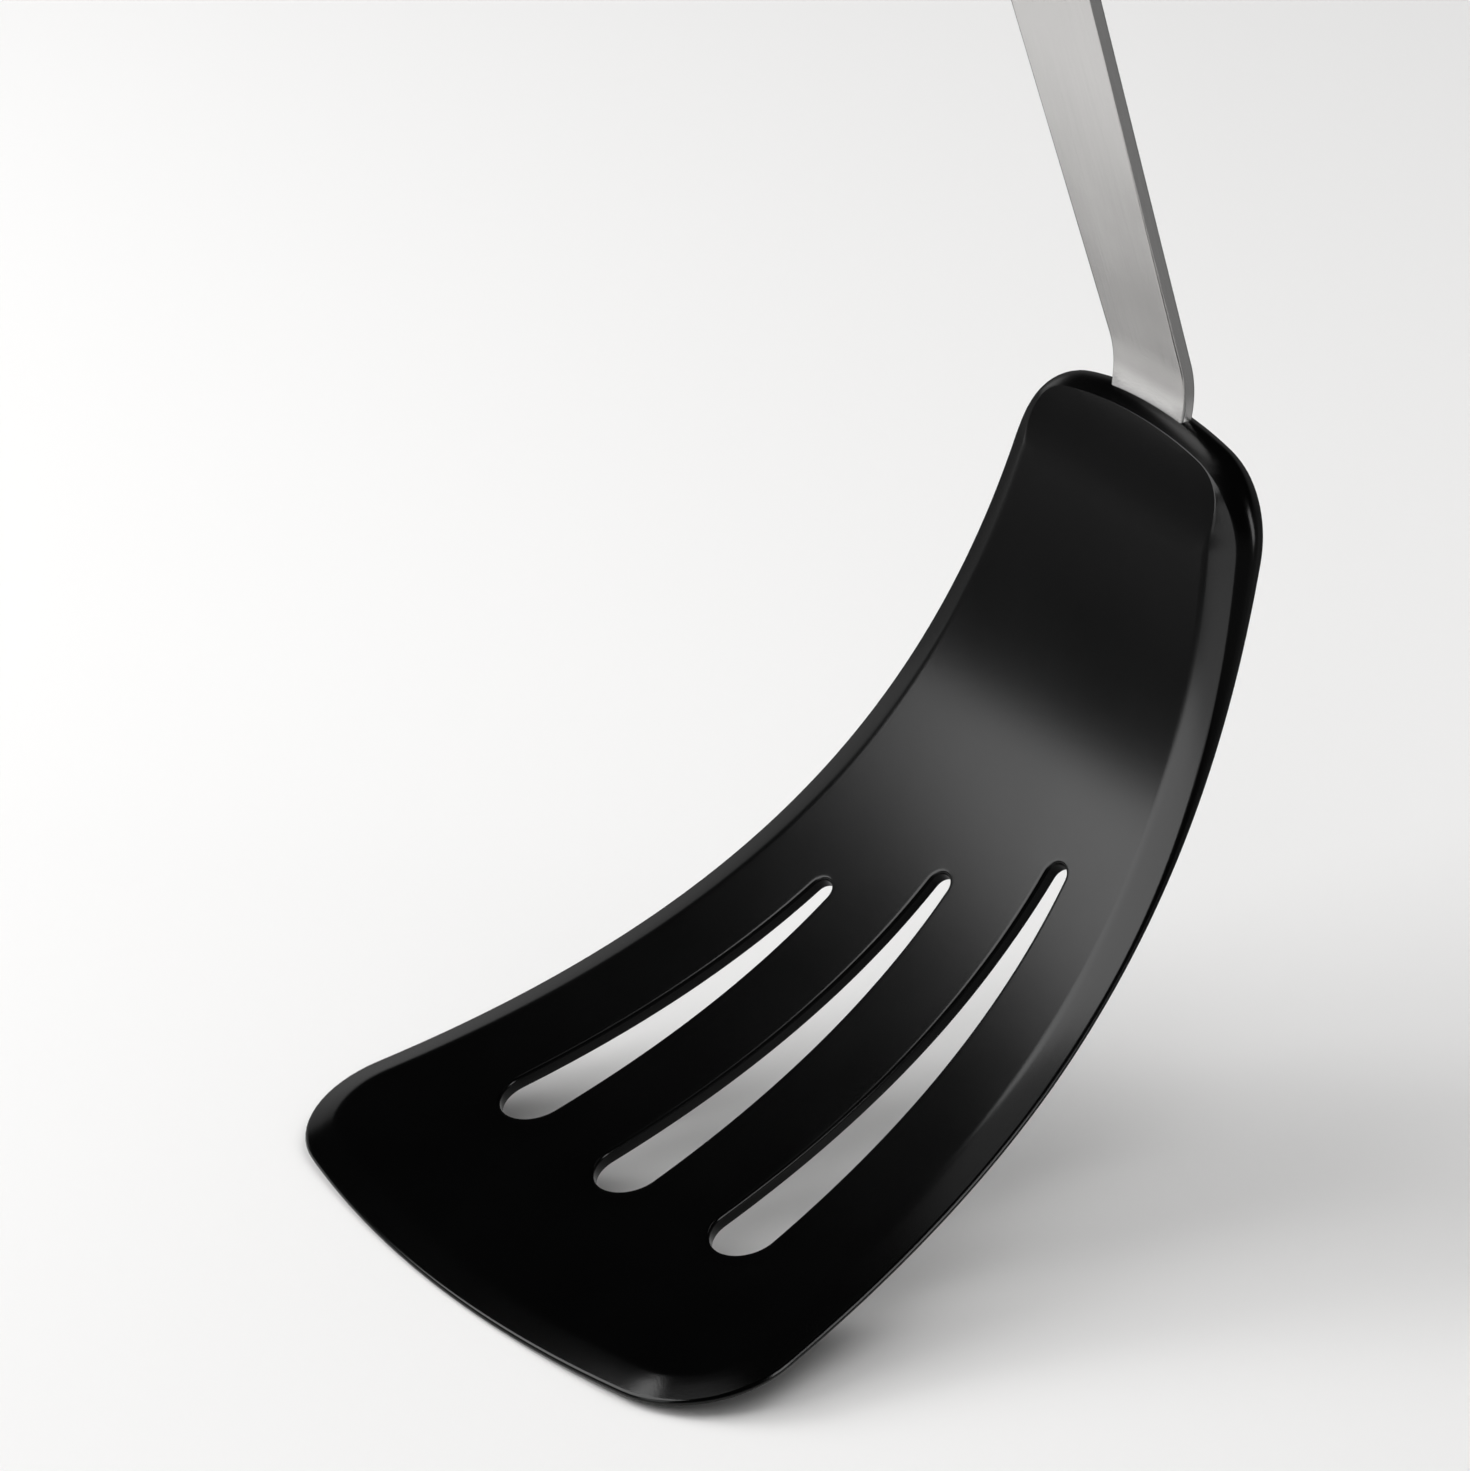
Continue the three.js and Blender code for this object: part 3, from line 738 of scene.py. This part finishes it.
# %% The shape of the grip
# width, thickness and corner of four sections, and how far up the grip each one is, as a share
grip_keys = np.array([
    [*grip_tip, 0.0],
    [27.0, 17.0, 6.3, 0.2],
    [31.0, 21.5, 9.6, 0.58],
    [*grip_tip, 1.0],
])


def smooth_through(keys, steps):
    """A smooth curve through the rows of keys, with this many steps between each two."""
    rows = np.vstack([2 * keys[0] - keys[1], keys, 2 * keys[-1] - keys[-2]])
    curve = []
    for before, start, end, after in zip(rows, rows[1:], rows[2:], rows[3:]):
        part = np.linspace(0, 1, steps, endpoint=False)[:, None]
        pull = (end - before) * part + (2 * before - 5 * start + 4 * end - after) * part**2
        curve.append(start + (pull + (3 * start - before - 3 * end + after) * part**3) / 2)
    return np.vstack([*curve, keys[-1:]])


grip_curve = smooth_through(grip_keys, steps=30)
print("the belly of the grip is", grip_curve[:, :2].max(axis=0).round(1), "mm wide and thick")

# %% Grooves in the grip
groove_depth = 0.45
groove_half = 0.9
groove_pitch = 4.0
groove_first = 6.0
groove_count = 3
groove_places = groove_first + groove_pitch * np.arange(groove_count)
grooves = np.concatenate([grip_start + groove_places, grip_end - groove_places])


def groove_at(up):
    """How deep the nearest groove is here: a rounded dent."""
    reach = np.abs(grooves - up).min() / groove_half
    return groove_depth * max(0.0, 1 - reach**2) ** 2


print(len(grooves), "grooves,", groove_at(grooves[0]), "mm deep")

# %% The grip
grip_step = 0.3
grip_sections = []
for up in np.arange(grip_start, grip_end, grip_step):
    at = (up - grip_start) / grip_length
    sizes = np.array([np.interp(at, grip_curve[:, 3], grip_curve[:, i]) for i in range(3)])
    dent = groove_at(up)
    grip_sections.append((sizes - [2 * dent, 2 * dent, dent], up))
grip_sections.append((grip_tip, grip_end))
grip_skin = Skin()
grip_channel = [section(bar_room, grip_end), section(bar_room, grip_start)]
grip_skin.band(outside(grip_sections) + grip_channel, closed=True)
grip = make_piece("rubber_grip", grip_skin, "grip_sleeve", handle_sharp_angle)

# %% [markdown]
# The end cap is flat on both faces and round at its end, with a long hole to hang it by. That is a plate
# again, with a wide round on its outer edge and a small one round the hole. The socket for the bar is cut
# out of it by a boolean, because it opens at the foot, across the plate's levels.

# %% Outlines of the end cap
cap_length = 32.0
cap_half_width = 14.0
cap_round = 5.0
cap_foot_ease = 0.5
hole_width = 9.0
hole_length = 16.0
hole_margin = 5.5
cap_start = grip_end + handle_gap
cap_end = cap_start + cap_length
hole_middle = cap_end - hole_margin - hole_length / 2
arch_middle = cap_end - cap_half_width


def cap_ring(inset):
    """The cap's arch moved inwards; its foot hardly moves, because it sits on the grip."""
    radius = cap_half_width - inset
    foot = cap_start + cap_foot_ease * inset / cap_round
    turns = np.linspace(0, quarter, 25)
    arch = [0, arch_middle] + radius * headed(turns)
    side_up = np.linspace(foot, arch_middle, 12)[:-1]
    side = np.column_stack([np.full(len(side_up), radius), side_up])
    base_across = np.linspace(0, radius, 9)[:-1]
    base = np.column_stack([base_across, np.full(len(base_across), foot)])
    return whole_ring(np.vstack([base, side, arch]))


def hole_ring(inset):
    """The hole's outline moved inwards: across, and up the handle."""
    radius = hole_width / 2 - inset
    straight = (hole_length - hole_width) / 2
    turns = np.linspace(-quarter, quarter, 41)
    lift = np.where(turns < 0, -straight, straight)
    half = np.column_stack([radius * np.cos(turns), hole_middle + lift + radius * np.sin(turns)])
    return whole_ring(half)


print("the cap ends", round(cap_end, 1), "mm up the handle from the end of the neck's bend")

# %% The end cap
cap_half_depth = 7.75
hole_round = 0.8
cap_grid = 1.6
cap_edges = [
    eased_edge(cap_ring, cap_half_depth, cap_round, steps=11),
    eased_edge(lambda inset: hole_ring(-inset), cap_half_depth, hole_round, steps=6),
]
cap_skin = plate(cap_edges, flat(cap_half_depth), flat(-cap_half_depth), cap_grid, in_handle)
cap = make_piece("handle_end_cap", cap_skin, "end_cap")

# %% The socket in the cap
cap_socket = 7.0
socket_overshoot = 1.0


def cut_from(piece, room):
    """Cuts a closed skin out of a piece."""
    tool = add_object("room", skin_mesh("room", room))
    boolean = piece.modifiers.new("room", "BOOLEAN")
    boolean.operation = "DIFFERENCE"
    boolean.solver = "EXACT"
    boolean.object = tool
    bpy.context.view_layer.update()
    result = piece.evaluated_get(bpy.context.evaluated_depsgraph_get())
    whole = piece.data
    piece.data = bpy.data.meshes.new_from_object(result)
    piece.modifiers.clear()
    bpy.data.objects.remove(tool)
    bpy.data.meshes.remove(whole)


socket = Skin()
socket_foot = section(bar_room, cap_start - socket_overshoot)
socket_rings = [socket_foot, section(bar_room, cap_start + cap_socket)]
socket.band(socket_rings)
ring_size = len(socket_foot)
socket.faces.append(tuple(range(ring_size)))
socket.faces.append(tuple(range(2 * ring_size - 1, ring_size - 1, -1)))
cut_from(cap, socket)
cap.data.set_sharp_from_angle(angle=math.radians(handle_sharp_angle))
print("the cap now has", len(cap.data.polygons), "faces")

# %% [markdown]
# A steel liner keeps the hook from wearing the hole. Its wall is a rounded rectangle carried once round
# the hole, so it closes on itself both ways, like a flattened doughnut.

# %% The hang ring
liner_wall = 1.0
liner_recess = 0.1
liner_round = 0.35


def wall_section(low, high, half, radius):
    """Round a wall's section: how far in from the hole's edge each ring is, and how far in front."""
    points = []
    corners = [(high, half), (low, half), (low, -half), (high, -half)]
    for i, (inset, front) in enumerate(corners):
        inset_middle = inset - math.copysign(radius, inset - (low + high) / 2)
        front_middle = front - math.copysign(radius, front)
        for turn in np.linspace(0, quarter, 6) + i * quarter:
            points.append((inset_middle + radius * math.cos(turn), front_middle + radius * math.sin(turn)))
    return points


liner_rings = []
liner_half = cap_half_depth - liner_recess
for inset, front in wall_section(handle_gap, handle_gap + liner_wall, liner_half, liner_round):
    ring = hole_ring(inset)
    liner_rings.append(in_handle(ring[:, 0], ring[:, 1], front))
liner_skin = Skin()
liner_skin.band(liner_rings, closed=True)
liner = make_piece("hang_ring", liner_skin, "hang_eyelet")

# %% [markdown]
# A finish is a tree of nodes, and many of its nodes do plain sums. Wiring those one by one hides the idea,
# so a small class wraps a socket and lets Python's own signs add the Math nodes. One method makes every
# other node: it takes the node's type, then its settings, then what goes into its sockets.

# %% Sums on sockets


class Value:
    """An output socket in a finish. Sums on it add Math nodes."""

    def __init__(self, finish, socket):
        self.finish = finish
        self.socket = socket

    def sum(self, operation, first, second):
        return self.finish.node("ShaderNodeMath", {"operation": operation}, {0: first, 1: second})

    def __add__(self, other):
        return self.sum("ADD", self, other)

    def __sub__(self, other):
        return self.sum("SUBTRACT", self, other)

    def __rsub__(self, other):
        return self.sum("SUBTRACT", other, self)

    def __mul__(self, other):
        return self.sum("MULTIPLY", self, other)

    __radd__ = __add__
    __rmul__ = __mul__


print("sockets can now be added, subtracted and multiplied")

# %% Trees of nodes


class Finish:
    """The node tree of a material or a world."""

    def __init__(self, owner):
        self.owner = owner
        owner.use_nodes = True
        self.tree = owner.node_tree
        self.tree.nodes.clear()

    def node(self, kind, settings=None, sockets=None, output=0):
        """Any node: its type, its settings, what goes into its sockets, and the output to go on with."""
        made = self.tree.nodes.new(kind)
        for name, value in (settings or {}).items():
            setattr(made, name, value)
        for name, value in (sockets or {}).items():
            if isinstance(value, Value):
                self.tree.links.new(value.socket, made.inputs[name])
            else:
                made.inputs[name].default_value = value
        return Value(self, made.outputs[output]) if len(made.outputs) else made

    def axis(self, vector, name):
        """One number of a vector: X, Y or Z."""
        return self.node("ShaderNodeSeparateXYZ", None, {"Vector": vector}, name)

    def mix(self, factor, first, second):
        """A colour between two colours."""
        return self.node("ShaderNodeMix", {"data_type": "RGBA"}, {0: factor, 6: first, 7: second}, 2)

    def place(self):
        """Where a point of the piece is, in metres."""
        return self.node("ShaderNodeTexCoord", output="Object")

    def noise(self, place, size, detail=2.0):
        """Soft spots of about this size in metres, from 0 to 1."""
        sockets = {"Vector": place, "Scale": 1 / size, "Detail": detail}
        return self.node("ShaderNodeTexNoise", None, sockets, "Fac")

    def ramp(self, value, start, end):
        """A smooth step from 0 to 1 while the value goes from start to end."""
        limits = {"Value": value, "From Min": start, "From Max": end}
        return self.node("ShaderNodeMapRange", {"interpolation_type": "SMOOTHSTEP"}, limits)

    def surface(self, sockets, bump=None, depth=0.0):
        """A principled surface; bump raises it by up to depth metres."""
        if bump is not None:
            raised = {"Height": bump, "Distance": depth, "Strength": 1.0}
            sockets = {**sockets, "Normal": self.node("ShaderNodeBump", None, raised, "Normal")}
        shader = self.node("ShaderNodeBsdfPrincipled", None, sockets)
        self.node("ShaderNodeOutputMaterial", None, {"Surface": shader})
        return self.owner


def new_finish(name):
    """An empty tree for a new material."""
    return Finish(bpy.data.materials.new(name))


def grey(level, warmth=0.0):
    """A grey of this brightness, a little red for warmth above 0 and a little blue below."""
    return (level * (1 + warmth), level, level * (1 - warmth), 1)


print("a grey with a little warmth:", grey(0.5, 0.02))

# %% [markdown]
# Silicone comes out of its mould with a satin skin: black, with a soft gloss and a very fine grain from
# the tool. Its gloss isn't even, because oil and washing leave faint clouds, and pans rub its front
# smoother. A single roughness would look like lacquer, so clouds, grain and wear all change it.

# %% Silicone
floor_height = cad_box[0].z
rubbed_most = floor_height + 2 * MM
rubbed_least = floor_height + 14 * MM


def silicone_finish():
    finish = new_finish("moulded_silicone")
    place = finish.place()
    grain = finish.noise(place, 0.22 * MM)
    cloud = finish.noise(place, 16 * MM, 4.0)
    rubbed = 1 - finish.ramp(finish.axis(place, "Z"), rubbed_most, rubbed_least)
    sockets = {
        "Base Color": finish.mix(cloud, grey(0.0006), grey(0.0015, -0.03)),
        "Roughness": 0.18 + 0.05 * cloud + 0.04 * (grain - 0.5) - 0.08 * rubbed,
        "IOR": 1.41,
        "Specular IOR Level": 0.30,
    }
    return finish.surface(sockets, grain, 0.006 * MM)


blade.data.materials.append(silicone_finish())
print("silicone on", blade.name)

# %% [markdown]
# The neck is brushed along its length, which leaves fine straight scratches. Noise that is drawn out along
# the neck gives them: the coordinates are turned by the neck's lean and stretched about a hundred times
# that way. The scratches change colour, gloss and height together, as real ones do. The colour also holds
# painted light: a painted highlight, a brighter base colour, on the foot of the neck just above the
# silicone, and above it a painted shade in faint clouds, a darker base colour, on the lower part of the
# front.

# %% Brushed steel
# heights on the neck, from the middle of the grip
# below these heights the foot gets a painted highlight: a brighter base colour
foot_highlight_start = -152.5 * MM
foot_highlight_end = -149.0 * MM
# between these heights the painted shade on the front thins out and ends
painted_shade_thins = -140.0 * MM
painted_shade_end = -98.0 * MM

# how far a face looks backwards, for the painted shade on the front: -1 is straight to the front
front_most = -0.9
front_least = -0.5


def scratches(finish, across, length):
    """Noise drawn out along the neck: fine lines of this width and length in metres."""
    sockets = {
        "Vector": finish.place(),
        "Rotation": (neck_lean, 0, 0),
        "Scale": (across, across, length),
    }
    turned = finish.node("ShaderNodeMapping", {"vector_type": "TEXTURE"}, sockets)
    return finish.noise(turned, 1.0, 3.0)


def brushed_finish():
    finish = new_finish("brushed_neck_steel")
    fine = scratches(finish, 0.12 * MM, 14 * MM)
    broad = scratches(finish, 1.1 * MM, 60 * MM)
    lines = 0.7 * fine + 0.3 * broad
    place = finish.place()
    cloud = finish.noise(place, 12 * MM, 3.0)
    height = finish.axis(place, "Z")
    backwards = finish.axis(finish.node("ShaderNodeTexCoord", output="Normal"), "Y")
    above_foot_highlight = finish.ramp(height, foot_highlight_start, foot_highlight_end)
    shade_below_hand = 1 - finish.ramp(height, painted_shade_thins, painted_shade_end)
    in_front = 1 - finish.ramp(backwards, front_most, front_least)
    # painted shade: a darker base colour on the lower front faces, in faint clouds
    painted_front_shade = above_foot_highlight * shade_below_hand * in_front * (0.4 + 0.6 * cloud)
    brushed = finish.mix(lines, grey(0.50, 0.012), grey(0.66, 0.012))
    # painted highlight: the foot's base colour is raised to a near white grey
    brushed_with_highlight = finish.mix(above_foot_highlight, grey(0.90, 0.012), brushed)
    sockets = {
        "Base Color": finish.mix(painted_front_shade, brushed_with_highlight, grey(0.30, 0.02)),
        "Metallic": 1.0,
        "Roughness": 0.16 + 0.08 * fine + 0.05 * cloud,
    }
    return finish.surface(sockets, lines, 0.02 * MM)


brushed_steel = brushed_finish()
for piece in (neck, liner):
    piece.data.materials.append(brushed_steel)
print("brushed steel on", neck.name, "and", liner.name)

# %% [markdown]
# Inside the blade lie a rolled spring steel sheet and its rivets, and inside the handle two pins. They
# keep their solids, because nothing of their shape is missing. Rolling leaves long faint bands and small
# pits.

# %% Spring steel for the hidden pieces


def rolled_finish():
    finish = new_finish("rolled_spring_steel")
    bands = scratches(finish, 0.6 * MM, 40 * MM)
    pits = finish.noise(finish.place(), 0.3 * MM, 3.0)
    sockets = {
        "Base Color": finish.mix(bands, grey(0.30), grey(0.42, 0.02)),
        "Metallic": 1.0,
        "Roughness": 0.28 + 0.14 * bands + 0.08 * pits,
    }
    return finish.surface(sockets, pits, 0.004 * MM)


def dress(nodes, finish):
    """Gives a finish to solids that keep their own shape."""
    for node in nodes:
        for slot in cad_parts[node].material_slots:
            slot.material = finish
    print(finish.name, "on", ", ".join(nodes))


rivets = ["core_rivet_left", "core_rivet_right"]
pins = ["tang_pin_lower", "tang_pin_upper"]
dress(["spring_core", *rivets, *pins], rolled_finish())

# %% [markdown]
# Collar, bar and end cap are hard plastic with a sparked texture from the mould: dull fine pits that a
# finger polishes away in clouds. The grip is soft rubber with a coarser pebble grain and hardly any gloss.

# %% Hard plastic and soft rubber


def plastic_finish():
    finish = new_finish("sparked_plastic")
    place = finish.place()
    pits = finish.noise(place, 0.25 * MM, 3.0)
    cloud = finish.noise(place, 20 * MM, 3.0)
    sockets = {
        "Base Color": finish.mix(cloud, grey(0.008), grey(0.014, -0.02)),
        "Roughness": 0.36 + 0.12 * pits + 0.10 * (cloud - 0.5),
        "IOR": 1.5,
    }
    return finish.surface(sockets, pits, 0.02 * MM)


def rubber_finish():
    finish = new_finish("pebbled_rubber")
    place = finish.place()
    cells = {"Vector": place, "Scale": 1 / (0.8 * MM)}
    pebble = finish.node("ShaderNodeTexVoronoi", {"feature": "SMOOTH_F1"}, cells, "Distance")
    dust = finish.noise(place, 9 * MM, 5.0)
    sockets = {
        "Base Color": finish.mix(dust, grey(0.007), grey(0.016, 0.02)),
        "Roughness": 0.62 + 0.12 * dust + 0.10 * pebble,
        "IOR": 1.45,
        "Specular IOR Level": 0.4,
    }
    return finish.surface(sockets, 1 - pebble, 0.05 * MM)


sparked_plastic = plastic_finish()
for piece in (collar, cap):
    piece.data.materials.append(sparked_plastic)
dress(["handle_core"], sparked_plastic)
grip.data.materials.append(rubber_finish())
print("plastic also on", collar.name, "and", cap.name, "and rubber on", grip.name)

# %% [markdown]
# The camera stands where the photograph was taken from: to the right of the blade's front, looking down,
# with a long lens. Its aim is a little to the left of the blade and its frame isn't rolled, so its axes
# are worked out from the view instead of being tracked to a target.

# %% The camera
# the frame's height, the focal length and the aim are in pixels, the place in millimetres
photo_high = 1471
focal_pixels = 9000.0
view_turn = math.radians(55.65)
view_rise = math.radians(26)
view_distance = 1139.24
view_point = np.array([0.0, 60.0, 60.0])
aim_left = 96.05
aim_up = 2.35
sensor_width = 36.0


def towards(turn, rise):
    """A direction from the object: turned from its front to its right, and raised."""
    return Vector((math.sin(turn) * math.cos(rise), -math.cos(turn) * math.cos(rise), math.sin(rise)))


camera_right = Vector((math.cos(view_turn), math.sin(view_turn), 0))
camera_back = towards(view_turn, view_rise)
camera_up = camera_back.cross(camera_right)
aim_back = (focal_pixels * camera_back + aim_left * camera_right - aim_up * camera_up).normalized()
aim_right = camera_up.cross(aim_back).normalized()
aim_top = aim_back.cross(aim_right)
lens = bpy.data.cameras.new("camera")
lens.sensor_width = sensor_width
lens.lens = sensor_width * focal_pixels / photo_high
camera = add_object("camera", lens)
view_focus = Vector((view_point - grip_middle) * MM)
place = view_focus + view_distance * MM * camera_back
turned = Matrix((aim_right, aim_top, aim_back)).transposed()
camera.matrix_world = Matrix.Translation(place) @ turned.to_4x4()
bpy.context.scene.camera = camera
print("camera at", [round(x, 3) for x in place], "m with a lens of", round(lens.lens, 1), "mm")

# %% [markdown]
# The floor is a wide pale disc. Close to the object it is lit by the lamps and takes the shadow. Further
# out it fades, for the camera, to the same pale grey as the surroundings, so that no horizon shows from
# any side. A black, glossy blade shows every bright thing around it, so rays from gloss see less: a dim
# sky with a faint band near the horizon, and a floor that is dark except for a patch in front of the
# blade. An even fill from all round reaches only matt surfaces.

# %% Rays and colours
scene = bpy.context.scene
scene.view_settings.view_transform = "Standard"
pale = grey(0.93, 0.006)
horizon_glow = grey(0.15)
floor_glow = grey(0.25)
back_glow = grey(0.07)
fill = grey(0.32)
dim = grey(0.005)


def seen_rays(finish):
    """Two switches: rays from the camera, straight or through glass, and rays from gloss."""
    rays = "ShaderNodeLightPath"
    camera_ray = finish.node(rays, output="Is Camera Ray")
    glossy_ray = finish.node(rays, output="Is Glossy Ray")
    clear_ray = finish.node(rays, output="Is Transmission Ray")
    return camera_ray + clear_ray, glossy_ray


print("far off the camera sees a grey of", pale[1], "and gloss sees a sky of", dim[1])

# %% The floor
floor_radius = 2.0

# where the floor changes, in metres from the point under the grip: start and end of each change
camera_fade = (0.40, 0.95)
patch_reach = (0.15, 0.45)
patch_right = (0.05, 0.12)
patch_rear = (-0.01, 0.05)
gloom_rear = (-0.10, 0.05)
gloom_right = (0.0, 0.10)


def floor_finish():
    finish = new_finish("pale_floor")
    place = finish.place()
    away = finish.node("ShaderNodeVectorMath", {"operation": "LENGTH"}, {0: place}, "Value")
    right = finish.axis(place, "X")
    behind = finish.axis(place, "Y")
    camera_ray, glossy_ray = seen_rays(finish)
    matt = {"Base Color": grey(0.86, 0.006), "Roughness": 1.0, "Specular IOR Level": 0.0}
    lit = finish.node("ShaderNodeBsdfPrincipled", None, matt)
    rear_colour = finish.mix(finish.ramp(right, *gloom_right), back_glow, floor_glow)
    gloom = finish.mix(finish.ramp(behind, *gloom_rear), floor_glow, rear_colour)
    far_colour = finish.mix(camera_ray, gloom, pale)
    far = finish.node("ShaderNodeEmission", None, {"Color": far_colour})
    near = 1 - finish.ramp(away, *patch_reach)
    patch = near * (1 - finish.ramp(right, *patch_right)) * (1 - finish.ramp(behind, *patch_rear))
    share = finish.ramp(away, *camera_fade) * camera_ray + (1 - patch) * glossy_ray
    shader = finish.node("ShaderNodeMixShader", None, {0: share, 1: lit, 2: far})
    finish.node("ShaderNodeOutputMaterial", None, {"Surface": shader})
    return finish.owner


disc = bmesh.new()
bmesh.ops.create_circle(disc, cap_ends=True, radius=floor_radius, segments=96)
floor_mesh = bpy.data.meshes.new("floor")
disc.to_mesh(floor_mesh)
disc.free()
floor = add_object("floor", floor_mesh)
floor.location.z = floor_height
floor_mesh.materials.append(floor_finish())
floor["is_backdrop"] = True
print("floor at", round(floor_height, 4), "m")

# %% The surroundings
# between these two, in degrees above the horizon, the faint band fades out
glow_band = (14, 26)

world = bpy.data.worlds.new("studio")
scene.world = world
sky = Finish(world)
direction = sky.node("ShaderNodeTexCoord", output="Generated")
camera_ray, glossy_ray = seen_rays(sky)
band_limits = [math.sin(math.radians(angle)) for angle in glow_band]
low_band = 1 - sky.ramp(sky.axis(direction, "Z"), *band_limits)
around = sky.mix(glossy_ray, fill, sky.mix(low_band, dim, horizon_glow))
background = sky.node("ShaderNodeBackground", None, {"Color": sky.mix(camera_ray, around, pale)})
sky.node("ShaderNodeOutputWorld", None, {"Surface": background})
print("surroundings of", len(sky.tree.nodes), "nodes")

# %% [markdown]
# A black blade is seen by what it mirrors, and a pale floor by what lights it. One set of lamps for both
# would spoil one of them, so there are two sets, as a studio has lamps and reflecting cards. Soft boxes in
# front, low on the left, behind and near the camera light matt surfaces and cast the shadow. Cards show
# only in gloss: the key card gives the broad grey sheen across the middle of the blade, the low, top and
# left ones its bevel, and the rim card a bright spot on the bulging rim. The camera sees none of them.

# %% Soft boxes


def soft_box(name, turn, rise, distance, width, height, brightness, in_gloss):
    """A lamp for gloss alone, or for matt surfaces alone; brightness 1 looks white in a mirror."""
    direction = towards(math.radians(turn), math.radians(rise))
    lamp = bpy.data.lights.new(name, "AREA")
    lamp.shape = "RECTANGLE"
    lamp.size = width
    lamp.size_y = height
    lamp.energy = brightness * math.pi * width * height
    box = add_object(name, lamp)
    box.location = view_focus + distance * direction
    box.rotation_euler = direction.to_track_quat("Z", "Y").to_euler()
    box.visible_camera = False
    box.visible_diffuse = not in_gloss
    box.visible_glossy = in_gloss
    print(name, "gives", round(lamp.energy, 2), "W")


# turn from the front and rise in degrees; distance, width and height in metres; brightness
lamp_boxes = {
    "front_box": (-31, 38, 0.8, 0.72, 0.68, 1.9),
    "side_box": (-60, 25, 1.0, 0.5, 0.5, 7.0),
    "back_box": (150, 68, 1.0, 0.8, 0.8, 1.65),
    "eye_box": (56, 42, 1.2, 0.5, 0.5, 1.2),
}
gloss_cards = {
    "key_card": (-31, 38, 0.55, 0.495, 0.468, 5.4),
    "low_card": (5, 15, 0.9, 0.36, 0.44, 2.0),
    "top_card": (-48, 70, 0.9, 0.30, 0.30, 0.95),
    "left_card": (-92, 8, 0.456, 0.30, 0.13, 0.4),
    "rim_card": (115, 24, 0.9, 0.28, 0.42, 6.0),
}
for name, measures in lamp_boxes.items():
    soft_box(name, *measures, in_gloss=False)
for name, measures in gloss_cards.items():
    soft_box(name, *measures, in_gloss=True)

# %% [markdown]
# Dressing must not change the object's size. The box of the solids, kept from the start, and the box of
# the finished pieces are printed side by side.

# %% Sizes, and the end
dressed_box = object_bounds()
for before, after in zip(cad_box, dressed_box):
    print("corner", [round(x / MM, 2) for x in before], "is now", [round(x / MM, 2) for x in after])
